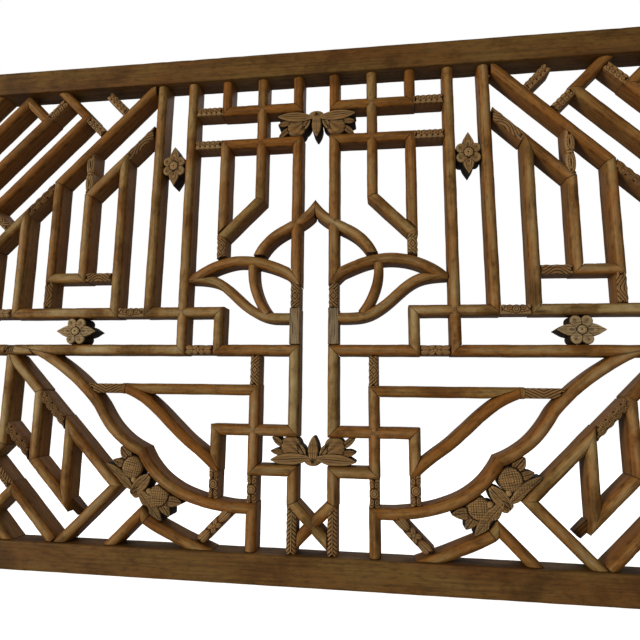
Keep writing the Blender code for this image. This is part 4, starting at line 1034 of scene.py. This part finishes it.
def reliefGrid(centre, forms, within, crest, rim=7.0, mirror=1, directions=224, bare=0.1, upright=False,
               crestLightScale=0.5, nothing=-9.0):
    # Height field in polar form: r(angle) is the furthest that any form reaches, and the front is
    # the highest of the forms at each point. The side then goes straight back. The edge stands at
    # the depth rim and the highest parts at the depth crest.
    angle = 2 * np.pi * (np.arange(directions) + 0.5) / directions
    r = np.arange(1.0, ornament["reach"], ornament["step"])[:, None]
    u, z = centre[0] + r * np.cos(angle), centre[1] + r * np.sin(angle)
    insideAny = np.max([form(u, z)[0] for form in forms], axis=0) > 0
    insideAny &= within(u, z)
    far = np.where(insideAny.any(0), r[len(r) - 1 - insideAny[::-1].argmax(0), 0], 1.0)
    far = (np.roll(far, 1) + 2 * far + np.roll(far, -1)) / 4
    inner = np.linspace(0.03, 0.93, ornament["rings"] - 6)
    share = np.concatenate([[0.004], inner, [0.955, 0.975, 0.99, 1.0]])
    radius = share[:, None] * far
    u, z = centre[0] + radius * np.cos(angle), centre[1] + radius * np.sin(angle)
    found = [form(u, z) for form in forms]
    tall = np.array([np.where(depth > 0, high, nothing) for depth, high in found])
    onTop = tall.argmax(0)[None]
    height = np.take_along_axis(tall, onTop, 0)[0]
    depths = np.array([depth for depth, high in found])
    outline = ridge(np.take_along_axis(depths, onTop, 0)[0], 0.13)
    # Knife cut along the line where two forms meet.
    below = np.sort(tall, axis=0)[-2]
    meeting = ridge(height - below, 0.5) * (below > nothing)
    ground = height == nothing
    height = np.where(ground, ornament["ground"], height - ornament["meetingCut"] * meeting)
    height = height * (rim - crest) / ornament["tallest"]
    edge = (1 - share)[:, None] * far
    height = height * (1 - np.exp(-(edge + 0.25) / ornament["edgeRound"]))
    # Painted shade, with dirt, where the surface lies under the mean of its neighbours, in the ground
    # between forms, along their outlines and in the knife cuts; painted highlight where it stands over its
    # neighbours.
    around = (np.roll(height, 2, 1) + np.roll(height, -2, 1)) / 2
    inwards = np.vstack([height[:1], height[:1], height[:-2]])
    outwards = np.vstack([height[2:], height[-1:], height[-1:]])
    along = inwards / 2 + outwards / 2
    hollowDirtShadeAndRidgeLight = np.clip(((around + along) / 2 - height) * 2.8, -1, 1) + 0.9 * ground
    hollowDirtShadeAndRidgeLight += np.maximum(0.95 * outline, 0.9 * meeting) * (share < 0.97)[:, None]
    y = rim - height
    back = barDepth - ornament["shallower"]
    sideY = np.array([rim + 1.2, rim + 5, rim + 12, rim + 20, back - 0.6, back])
    inset = np.array([0.0, -0.1, -0.1, -0.1, -0.1, 0.5])
    y = np.vstack([y, sideY[:, None] + 0 * far])
    u = np.vstack([u, centre[0] + (far - inset[:, None]) * np.cos(angle)])
    z = np.vstack([z, centre[1] + (far - inset[:, None]) * np.sin(angle)])
    # Painted shade down the sides, with some dark end grain.
    hollowDirtShadeAndRidgeLight = np.vstack([hollowDirtShadeAndRidgeLight, np.array(ornament["sideShadeAndDirt"])[:, None] + 0 * far])
    # Painted highlight on the raised parts, scaled for each piece.
    crestLight = np.vstack([np.clip(height / 5.0, 0, 1) * crestLightScale, np.zeros((len(sideY), directions))])
    uv = np.stack([z + y, u + y * 0.6] if upright else [u + y, z + y * 0.6], -1) / 1000
    return {"u": u * mirror, "y": y, "z": z, "uv": uv, "rim": None, "tone": np.full(u.shape, 0.45),
            "seam": np.zeros_like(u), "hollowDirtShadeAndRidgeLight": hollowDirtShadeAndRidgeLight, "crestLight": crestLight,
            "bare": np.full(u.shape, bare) * (y < rim)}


def anywhere(u, z):
    return np.ones(np.shape(u), bool)


# Rosettes, in mm: the pointed petals along them, the round ones beside them, which lie apart from
# the cross line, and the buttons.
rosette = {"pointed": 36.0, "pointedWide": 9.4, "round": 8.6, "apart": 7.9, "highButton": 8.2,
           "lowButton": 7.4}


def rosetteForms(centre, upright, reach):
    # Two pointed petals and four round ones round a button.
    cu, cz = centre

    def place(along, across):
        return (cu + across, cz + along) if upright else (cu + along, cz + across)
    forms = [leafForm(place(0.5 * a, 0), place(rosette["pointed"] * a, 0), rosette["pointedWide"], 0.8, 4.8,
                      "pit") for a in (1, -1)]
    forms += [petalForm(place(rosette["apart"] * a, (reach - rosette["round"]) * b), rosette["round"],
                        1.4, 5.4, centre) for a in (-1, 1) for b in (-1, 1)]
    return forms + [buttonForm(centre, rosette["highButton" if upright else "lowButton"], 4.8, 6.4)]


# Flowers on the middle line. They are drawn drawnTall mm high and stretched to the room they have.
flower = {"drawnTall": 40.7, "lowPetal": 43.5, "highPetal": 43.8}


def flowerGrids(floor, ceiling, tall):
    # Middle petal that stands up from a knob, and on each side a long leaf, a round one behind it
    # and the tips of two more. It hangs upside down when the ceiling is the lower limit.
    scale = (ceiling - floor) / flower["drawnTall"]

    def at(u, up):
        return (u, floor + up * scale)

    def within(u, z):
        return (z > min(floor, ceiling)) & (z < max(floor, ceiling))
    middle = [leafForm(at(0.5, 1.0), at(1.0, tall), 8.6, 1.0, 5.4, "long"),
              petalForm(at(0.0, 6.2), 12.5, 1.2, 4.4, squat=1.75)]
    grids = [reliefGrid(at(0.5, 18.0), middle, anywhere, crest=1.4)]
    for mirror in (1, -1):
        forms = [fanForm(at(33.0, 27.5), 15.6, 0.4, 3.4, at(14.0, 14.0)),
                 leafForm(at(2.0, 11.0), at(65.0, 6.5), 9.6, 1.2, 5.0, "long"),
                 leafForm(at(10.0, 12.0), at(24.0, 33.0), 5.5, 0.8, 3.9, "fold"),
                 leafForm(at(42.0, 25.0), at(63.0, 42.5), 5.2, 0.2, 2.9, "fold"),
                 leafForm(at(42.0, 18.0), at(64.5, 19.8), 5.0, 0.2, 2.4, "fold")]
        grids.append(reliefGrid(at(37.0, 20.0), forms, within, crest=1.6, mirror=mirror, directions=300))
    return grids


def besideBars(u, z, clear=half + 0.9, clearOfTop=13.0):
    # Clear of the outer sweep, the zigzag and the sill's sweep. The longest stretch of a path is
    # straight, and is measured to closer points.
    near = np.full(np.shape(u), 1e9)
    for path in (sweepPath, sillPath):
        points = np.array(path, float)
        longest = np.argmax(np.hypot(*np.diff(points, axis=0).T))
        straight = np.linspace(0, 1, 25)[:, None]
        for pu, pz in np.vstack([points[:-1], points[:-1] * 0.5 + points[1:] * 0.5,
                                 points[longest] * (1 - straight) + points[longest + 1] * straight]):
            near = np.minimum(near, np.hypot(u - pu, z - pz))
    return ((near > clear) & (np.hypot(u - sillTop[0], z - sillTop[1]) > clearOfTop)
            & (z - u > inFall["low1"] + clear / diag))


# The sprays' two fruits and the folded bud between them, with their leaves set out round them.
spray = {"upper": (281.5, -182.0), "lower": (236.5, -223.0), "upperRadius": 17.5, "lowerRadius": 17.0}


def sprayGrids():
    fruit1, fruit2 = spray["upper"], spray["lower"]
    parts = [
        (fruit1, [leafForm((284.0, -172.0), (303.0, -151.0), 9.5, 0.2, 2.6, "fold"),
                  leafForm((286.0, -182.0), (315.0, -171.0), 6.5, 0.2, 2.8, "side"),
                  fruitForm(fruit1, spray["upperRadius"], 1.2, 5.6, 0.20)]),
        ((301.0, -195.5), [leafForm((276.0, -216.0), (325.0, -176.0), 9.8, 1.0, 5.0, "side"),
                           petalForm((277.5, -200.5), 5.0, 0.8, 4.8)]),
        ((269.0, -210.0), [petalForm((273.5, -217.0), 10.5, 0.8, 4.2),
                           leafForm((250.0, -190.0), (282.5, -224.5), 11.5, 1.0, 5.4, "fold")]),
        (fruit2, [leafForm((240.0, -228.0), (198.0, -232.0), 9.0, 0.2, 2.8, "side"),
                  leafForm((240.0, -222.0), (217.0, -252.0), 9.0, 0.2, 3.0, "side"),
                  fruitForm(fruit2, spray["lowerRadius"], 1.2, 5.6, 0.05)]),
        ((250.0, -237.0), [leafForm((272.0, -211.0), (229.0, -259.0), 10.5, 1.0, 5.2, "side"),
                           petalForm((252.0, -217.0), 5.5, 0.8, 4.6)])]
    return [reliefGrid(centre, forms, besideBars, crest=1.2, directions=180, crestLightScale=0.6)
            for centre, forms in parts]


# Frame boards: square timber, planed, with its arrises rubbed round. It never stands out over
# the size that it was sawn to.
frameTimber = {"arris": 2.2, "spacing": 9.0, "unevenness": 0.22, "endRub": 0.9, "chips": 1.1}


def frameBoard(start, end, wide, front, back):
    # A rounded rectangle, |s| <= wide and front <= y <= back, carried from start to end.
    place, length = boardLine([start, end])
    r = frameTimber["arris"]
    turn = np.linspace(0, math.pi / 2, 5)
    frontEdge = np.linspace(0, wide - r, 7)[:-1]
    corner1 = np.stack([wide - r + r * np.sin(turn), front + r - r * np.cos(turn)], 1)
    side = np.stack([np.full(5, wide), np.linspace(front + r, back - r, 7)[1:-1]], 1)
    corner2 = np.stack([wide - r + r * np.cos(turn), back - r + r * np.sin(turn)], 1)
    right = np.vstack([np.stack([frontEdge, np.full(6, front)], 1), corner1, side, corner2])
    profile = np.vstack([[(0.0, back)], right[::-1] * (-1, 1), right[1:]])
    phase = chance.uniform(0, 40)
    base = stationsBetween(0.0, length, frameTimber["spacing"])
    t = np.broadcast_to(base[:, None], (len(base), len(profile)))
    s, y = np.broadcast_to(profile[:, 0], t.shape).copy(), np.broadcast_to(profile[:, 1], t.shape).copy()
    nearEnd = np.minimum(base, length - base)[:, None]
    rub = frameTimber["endRub"] * ridge(nearEnd, 0.9)
    slack = frameTimber["unevenness"] * (1 + wave(t, (210, 97, 43), phase))
    edge = ridge(np.abs(profile[:, 0]) - wide + 0.7, 1.3)
    chips = np.clip(wave(t + 7 * np.sign(s), (47, 23, 11), phase + 3) - 0.3, 0, 1)
    middle = (front + back) / 2
    away = (slack + rub + frameTimber["chips"] * chips * edge) * np.clip(nearEnd / 3 + 0.6, 0, 1)
    y = y - np.sign(y - middle) * np.minimum(away, np.abs(y - middle)) * (np.abs(y - middle) > 18)
    s = s - np.sign(s) * (0.5 * slack + rub) * (np.abs(s) > wide - 3)
    u, z, nu, nz = place(t)
    u, z = u + nu * s, z + nz * s
    around = np.concatenate([[0], np.cumsum(np.hypot(*np.diff(profile, axis=0).T))])
    uv = np.stack([t + phase * 25, np.broadcast_to(around + phase * 7, t.shape)], -1) / 1000
    # Painted highlight over the front face, weaker near its front arrises, where painted shade takes over.
    face = 0.62 - 0.3 * edge * (profile[:, 1] < front + 4)
    return {"u": u, "y": y, "z": z, "uv": uv, "rim": (around[-1] + phase * 7) / 1000,
            "tone": np.full(t.shape, 0.35), "seam": 0.6 * ridge(nearEnd, 0.8) * np.ones_like(t),
            "hollowDirtShadeAndRidgeLight": np.zeros_like(t), "crestLight": np.broadcast_to(face, t.shape), "bare": np.zeros_like(t)}


# Materials.
def linear(code):
    # sRGB hex to linear colour.
    values = [int(code[i:i + 2], 16) / 255 for i in (1, 3, 5)]
    return tuple(v / 12.92 if v <= 0.04045 else ((v + 0.055) / 1.055) ** 2.4 for v in values) + (1.0,)


def addNode(tree, kind, inputs=None, **settings):
    node = tree.nodes.new(kind)
    for key, value in settings.items():
        setattr(node, key, value)
    for key, value in (inputs or {}).items():
        if isinstance(value, bpy.types.NodeSocket):
            tree.links.new(value, node.inputs[key])
        else:
            node.inputs[key].default_value = value
    return node


# Old fir, oiled: honey brown, redder where the oil stayed, grey where it was never finished, with a painted
# highlight along its crowns and painted shade along its arrises and sides. Its grain, 1.8 mm wide and 80 mm
# long, is a little coarser than the real 1 mm, so that it shows. Long and Wide are in mm.
firBars = {"olive": "#806334", "orange": "#7f4e1b", "deep": "#36220d", "sheen": "#b8a577",
           "side": "#6a4013", "shadeAndGrime": "#2b1807", "dirt": "#180d05", "bare": "#776950",
           "grainWide": 1.8, "grainLong": 80.0, "streakWide": 5.0, "streakLong": 150.0,
           "patchLong": 75.0, "patchWide": 26.0, "knotLong": 190.0, "knotWide": 30.0,
           "fleckLong": 16.0, "fleckWide": 5.0, "cloudWide": 60.0,
           "roughness": 0.58, "specular": 0.10, "ior": 1.45, "bump": 0.00022, "bumpStrength": 0.8,
           "sheenShare": 0.45, "cutShadeAndDirt": 0.85, "ridgeHighlightShare": 0.16, "backWood": "#8f7349",
           "backAt": latticeFront + barDepth}
# The same wood where it was carved across the grain: duller, with dirt and painted shade in the cuts.
firCarvings = dict(firBars, olive="#7b5a31", orange="#7c5324", sheen="#a98d5e", side="#2c1a0b",
                   shadeAndGrime="#180d05", bare="#a99772", roughness=0.68, sheenShare=0.40, cutShadeAndDirt=0.95,
                   ridgeHighlightShare=0.30, backAt=latticeFront + barDepth - ornament["shallower"])
# The frame's broad boards, more even and a shade darker.
firFrame = dict(firBars, olive="#664a20", orange="#5c3814", sheen="#80683f", side="#402811",
                patchLong=190.0, patchWide=45.0, sheenShare=0.3, roughness=0.55,
                backAt=boxOf("frameSill")[1][1])


def oldFir(name, look):
    material = bpy.data.materials.new(name)
    material.use_nodes = True
    tree = material.node_tree
    shader = tree.nodes["Principled BSDF"]
    grain = addNode(tree, "ShaderNodeUVMap", uv_map="alongGrain").outputs["UV"]
    place = addNode(tree, "ShaderNodeTexCoord").outputs["Object"]
    marks = {key: addNode(tree, "ShaderNodeAttribute", attribute_name=key).outputs["Fac"]
             for key in ("tone", "seam", "hollowDirtShadeAndRidgeLight", "crestLight", "bare")}

    # Noises drawn out along the grain.
    noises = {"grain": {"Detail": 3.0, "Roughness": 0.6}, "streak": {"Detail": 2.0, "Distortion": 0.4},
              "patch": {"Detail": 3.0}, "fleck": {"Detail": 4.0, "Roughness": 0.65}, "knot": {}}
    for part, shape in noises.items():
        perMetre = (1000 / look[part + "Long"], 1000 / look[part + "Wide"], 0.0)
        at = addNode(tree, "ShaderNodeVectorMath", {0: grain, 1: perMetre}, operation="MULTIPLY")
        kind, output = ("TexVoronoi", "Distance") if part == "knot" else ("TexNoise", "Fac")
        noise = addNode(tree, "ShaderNode" + kind, {"Vector": at.outputs[0], "Scale": 1.0, **shape})
        noises[part] = noise.outputs[output]
    cloud = addNode(tree, "ShaderNodeTexNoise", {"Vector": place, "Scale": 1000 / look["cloudWide"],
                                                 "Detail": 4.0, "Roughness": 0.6}).outputs["Fac"]
    depth = addNode(tree, "ShaderNodeSeparateXYZ", {0: place}).outputs["Y"]
    warmth = addNode(tree, "ShaderNodeMath", {0: marks["tone"], 1: 0.4, 2: noises["patch"]},
                     operation="MULTIPLY_ADD").outputs[0]
    crest = addNode(tree, "ShaderNodeMath", {0: marks["crestLight"], 1: 2.2}, operation="POWER").outputs[0]
    behind = addNode(tree, "ShaderNodeMapRange", {
        "Value": depth, "From Min": (look["backAt"] - 2.2) / 1000,
        "From Max": (look["backAt"] - 1.0) / 1000}).outputs[0]

    # Layers, from the lowest up: where a layer's source rises through the first range, its share of
    # the colour goes through the second, times a further share if one is given.
    layers = (
        # Honey to red-brown, by board and by patch.
        ("orange", warmth, (0.46, 0.82), (0.0, 1.0), None),
        # Dark grain, dark streaks, flecks of handling dirt, and broad patches where the oil stayed.
        ("deep", noises["grain"], (0.48, 0.72), (0.0, 0.42), None),
        ("deep", noises["streak"], (0.48, 0.70), (0.0, 0.60), None),
        ("deep", noises["fleck"], (0.48, 0.72), (0.0, 0.80), None),
        ("deep", cloud, (0.49, 0.32), (0.0, 0.55), None),
        # Painted highlight along the crowns, in patches.
        ("sheen", cloud, (0.40, 0.66), (0.0, look["sheenShare"]), crest),
        # Knots.
        ("deep", noises["knot"], (0.03, 0.13), (0.75, 0.0), None),
        # Unfinished grey wood, brown in its grain.
        ("bare", noises["grain"], (0.42, 0.64), (1.0, 0.20), marks["bare"]),
        # Painted shade on the arrises and sides, with their own darker stain, deepening with depth.
        ("side", marks["crestLight"], (0.0, 0.55), (0.44, 0.0), None),
        ("shadeAndGrime", depth, ((latticeFront + 8) / 1000, (latticeFront + 34) / 1000), (0.0, 0.4), None),
        # Painted highlight on the edges of cuts, dirt and painted shade in the cuts, and dirt in the joints.
        ("sheen", marks["hollowDirtShadeAndRidgeLight"], (0.0, -0.8), (0.0, look["ridgeHighlightShare"]), None),
        ("shadeAndGrime", marks["hollowDirtShadeAndRidgeLight"], (0.0, 0.8), (0.0, look["cutShadeAndDirt"]), None),
        ("dirt", marks["seam"], (0.0, 1.0), (0.0, 1.0), None),
        # The back was never oiled.
        ("backWood", cloud, (0.35, 0.65), (0.3, 0.8), behind))
    colour = linear(look["olive"])
    for over, source, (low, high), (fromShare, toShare), further in layers:
        share = addNode(tree, "ShaderNodeMapRange", {"Value": source, "From Min": low, "From Max": high,
                                                     "To Min": fromShare, "To Max": toShare}).outputs[0]
        if further is not None:
            share = addNode(tree, "ShaderNodeMath", {0: share, 1: further}, operation="MULTIPLY").outputs[0]
        colour = addNode(tree, "ShaderNodeMix", {0: share, 6: colour, 7: linear(look[over])},
                         data_type="RGBA").outputs[2]
    rough = addNode(tree, "ShaderNodeMapRange", {
        "Value": noises["streak"], "From Min": 0.3, "From Max": 0.7,
        "To Min": look["roughness"] - 0.08, "To Max": look["roughness"] + 0.12}).outputs[0]
    tree.links.new(colour, shader.inputs["Base Color"])
    tree.links.new(rough, shader.inputs["Roughness"])
    bump = addNode(tree, "ShaderNodeBump", {"Height": noises["grain"], "Distance": look["bump"],
                                            "Strength": look["bumpStrength"]})
    tree.links.new(bump.outputs["Normal"], shader.inputs["Normal"])
    shader.inputs["IOR"].default_value = look["ior"]
    shader.inputs["Specular IOR Level"].default_value = look["specular"]
    return material


# For each strand, board by board: how strong the painted highlight on its crown is, and how red its oil has
# gone. The strands' boards are taken in turn.
highlightAndAgeing = {"cornerBar": [(0.6, 0.7)], "outerSlant": [(0.6, 0.75)], "middleSlant": [(0.6, 0.7)],
          "innerUOuter": [(0.55, 0.75), (1.0, 0.4), (1.0, 0.4)], "innerUInner": [(1.0, 0.4)],
          "outerU": [(1.0, 0.4), (1.4, 0.15), (1.0, 0.4)], "outerHook": [(1.0, 0.4)],
          "stepBar": [(1.0, 0.4), (1.1, 0.4)], "tallUpright": [(1.0, 0.5), (0.9, 0.5)],
          "hoop": [(0.9, 0.6), (0.45, 0.8), (0.8, 0.6)], "topU": [(0.45, 0.8)],
          "knee": [(0.85, 0.6), (0.95, 0.4)], "eye": [(0.9, 0.5)],
          "spineHook": [(0.6, 0.75), (1.4, 0.05), (0.8, 0.6), (1.1, 0.3)],
          "lowerRow": [(0.5, 0.7), (0.9, 0.5)], "innerSweep": [(0.3, 0.7)], "footHook": [(1.0, 0.4)],
          "outerSweep": [(0.8, 0.5)], "rowEnd": [(1.2, 0.25)], "lowHook": [(1.0, 0.3)],
          "zigzag": [(1.0, 0.35)], "sillGable": [(0.9, 0.4)], "sillSweep": [(0.8, 0.5)],
          "ogeeArch": [(1.3, 0.5)]}
# Where one side's painted highlight and oil differ from the other's.
highlightAndAgeingApart = {"Left": {"tallUpright": [(1.0, 0.5), (1.2, 0.4)], "innerSweep": [(0.0, 0.8)]},
             "Right": {"tallUpright": [(1.0, 0.5), (0.65, 0.6)]}}


barWood, carvingWood = oldFir("oiledFirBars", firBars), oldFir("carvedFirOrnaments", firCarvings)
frameWood = oldFir("planedFirFrame", firFrame)
print("materials made")

sides = ((1, "Right"), (-1, "Left"))
for side, word in sides:
    strands = {**upperOutside(side), **upperInside(), **middleStrands(side), **lowerStrands()}
    highlightAndAge = {**highlightAndAgeing, **highlightAndAgeingApart[word]}
    for name, strokes in strands.items():
        grids = [grid for stroke in strokes for grid in strokeBoards({**stroke, "highlightAndAgeing": highlightAndAge[name]})]
        placePiece(name + word + "Timber", meshOf(name + word, grids, side), name + word,
                   barWood)
    print("strands", word, pieceCount)
arch = strokeBoards({**archStroke(), "highlightAndAgeing": highlightAndAgeing["ogeeArch"]})
placePiece("ogeeArchTimber", meshOf("ogeeArch", arch, 1), "ogeeArch", barWood)

for side, word in sides:
    high = ((c3 + c4) / 2 - 0.9, 310.0)
    low = (392.0 - 2.0 * side, rows["outerU"] / 2)
    carvedPieces = {
        "highRosette": [reliefGrid(high, rosetteForms(high, True, (c4 - c3) / 2 - half - 1.5), anywhere,
                                   crest=2.6, rim=8.0, directions=300, bare=0.2, upright=True, crestLightScale=0.45)],
        "lowRosette": [reliefGrid(low, rosetteForms(low, False, rows["outerU"] / 2 - half - 0.4), anywhere,
                                  crest=1.8, directions=300, bare=0.5, crestLightScale=0.7)],
        "spray": sprayGrids()}
    for name, grids in carvedPieces.items():
        placePiece(name + word + "Carving", meshOf(name + word, grids, side), name + word,
                   carvingWood)
clear = touching + 0.1
flowers = {"lowFlower": flowerGrids(rows["lower3"] + clear, rows["lower2"] - clear, flower["lowPetal"]),
           "highFlower": flowerGrids(rows["top"] - clear, rows["hoop"] + clear, flower["highPetal"])}
for name, grids in flowers.items():
    placePiece(name + "Carving", meshOf(name, grids, 1), name, carvingWood)
print("ornaments", pieceCount)

for node in ("frameSill", "frameHead", "frameStileRight", "frameStileLeft"):
    low, high = boxOf(node)
    centre = (low + high) / 2 - (0, latticeFront, middleRow)
    if high[0] - low[0] > high[2] - low[2]:
        ends, wide = [(low[0], centre[2]), (high[0], centre[2])], (high[2] - low[2]) / 2
    else:
        ends = [(centre[0], low[2] - middleRow), (centre[0], high[2] - middleRow)]
        wide = (high[0] - low[0]) / 2
    board = frameBoard(*ends, wide, low[1] - latticeFront, high[1] - latticeFront)
    placePiece(node + "Timber", meshOf(node, [board], 1), node, frameWood)
print("frame", pieceCount)

# Pale floor, soft light from the left and the front, white background.
studio = {"floor": "#f4f3f0", "floorSize": 4.0, "floorGlow": 0.80, "background": 1.0, "ambient": 0.325,
          "aim": (0.0, 0.0, 0.42)}
lights = {"keyWindow": {"power": 250.0, "place": (-4.3, -3.3, 0.80), "size": 1.8},
          "fillCard": {"power": 20.0, "place": (0.6, -2.3, 0.08), "size": 1.4},
          "backCard": {"power": 25.0, "place": (0.3, 1.5, 2.4), "size": 1.2}}


def floorSheet():
    mesh = bpy.data.meshes.new("floor")
    size = studio["floorSize"]
    corners = [(-size, -size, 0), (size, -size, 0), (size, size, 0), (-size, size, 0)]
    mesh.from_pydata(corners, [], [(0, 1, 2, 3)])
    floor = bpy.data.objects.new("floor", mesh)
    bpy.context.scene.collection.objects.link(floor)
    paint = bpy.data.materials.new("matWhiteFloor")
    paint.use_nodes = True
    paper = paint.node_tree.nodes["Principled BSDF"]
    paper.inputs["Base Color"].default_value = linear(studio["floor"])
    paper.inputs["Roughness"].default_value = 0.9
    paper.inputs["Emission Color"].default_value = (1.0, 1.0, 1.0, 1.0)
    paper.inputs["Emission Strength"].default_value = studio["floorGlow"]
    mesh.materials.append(paint)
    floor.visible_diffuse = floor.visible_glossy = False   # it throws no light up at the window


def standAt(place, across, up, back):
    # The matrix of a lamp or a camera, from its own three axes.
    return Matrix([[across[i], up[i], back[i], place[i]] for i in range(3)] + [[0, 0, 0, 1]])


def areaLight(name, power, place, size):
    light = bpy.data.lights.new(name, "AREA")
    light.energy, light.size = power, size
    lamp = bpy.data.objects.new(name, light)
    bpy.context.scene.collection.objects.link(lamp)
    back = (Vector(place) - Vector(studio["aim"])).normalized()
    across = Vector((0, 0, 1)).cross(back).normalized()
    lamp.matrix_world = standAt(place, across, back.cross(across), back)


floorSheet()
for name, light in lights.items():
    areaLight(name, **light)
world = bpy.data.worlds.new("studio")
bpy.context.scene.world = world
world.use_nodes = True
air = world.node_tree
sky = air.nodes["Background"]
sky.inputs["Strength"].default_value = studio["ambient"]
white = addNode(air, "ShaderNodeBackground", {"Strength": studio["background"]})
for background in (sky, white):
    background.inputs["Color"].default_value = (1.0, 1.0, 1.0, 1.0)
seen = addNode(air, "ShaderNodeLightPath").outputs["Is Camera Ray"]
mixed = addNode(air, "ShaderNodeMixShader", {0: seen, 1: sky.outputs[0], 2: white.outputs[0]})
air.links.new(mixed.outputs[0], air.nodes["World Output"].inputs["Surface"])
bpy.context.scene.view_settings.view_transform = "Standard"

# Camera a little right of the middle line and low, turned slightly left and up.
lens = {"place": (0.11478, -0.89224, 0.26325), "turn": 8.587, "tilt": 10.243, "roll": 0.827,
        "length": 32.52, "shiftX": 0.0268, "shiftY": -0.0393}
camera = bpy.data.objects.new("camera", bpy.data.cameras.new("camera"))
bpy.context.scene.collection.objects.link(camera)
turn, tilt, roll = (math.radians(lens[key]) for key in ("turn", "tilt", "roll"))
level = Vector((math.cos(turn), math.sin(turn), 0))
forward = Vector((-math.sin(turn) * math.cos(tilt), math.cos(turn) * math.cos(tilt), math.sin(tilt)))
upright = level.cross(forward)
camera.matrix_world = standAt(lens["place"], level * math.cos(roll) + upright * math.sin(roll),
                              upright * math.cos(roll) - level * math.sin(roll), -forward)
camera.data.sensor_width = 36.0
camera.data.lens = lens["length"]
camera.data.shift_x, camera.data.shift_y = lens["shiftX"], lens["shiftY"]
camera.data.clip_start = 0.01
bpy.context.scene.camera = camera
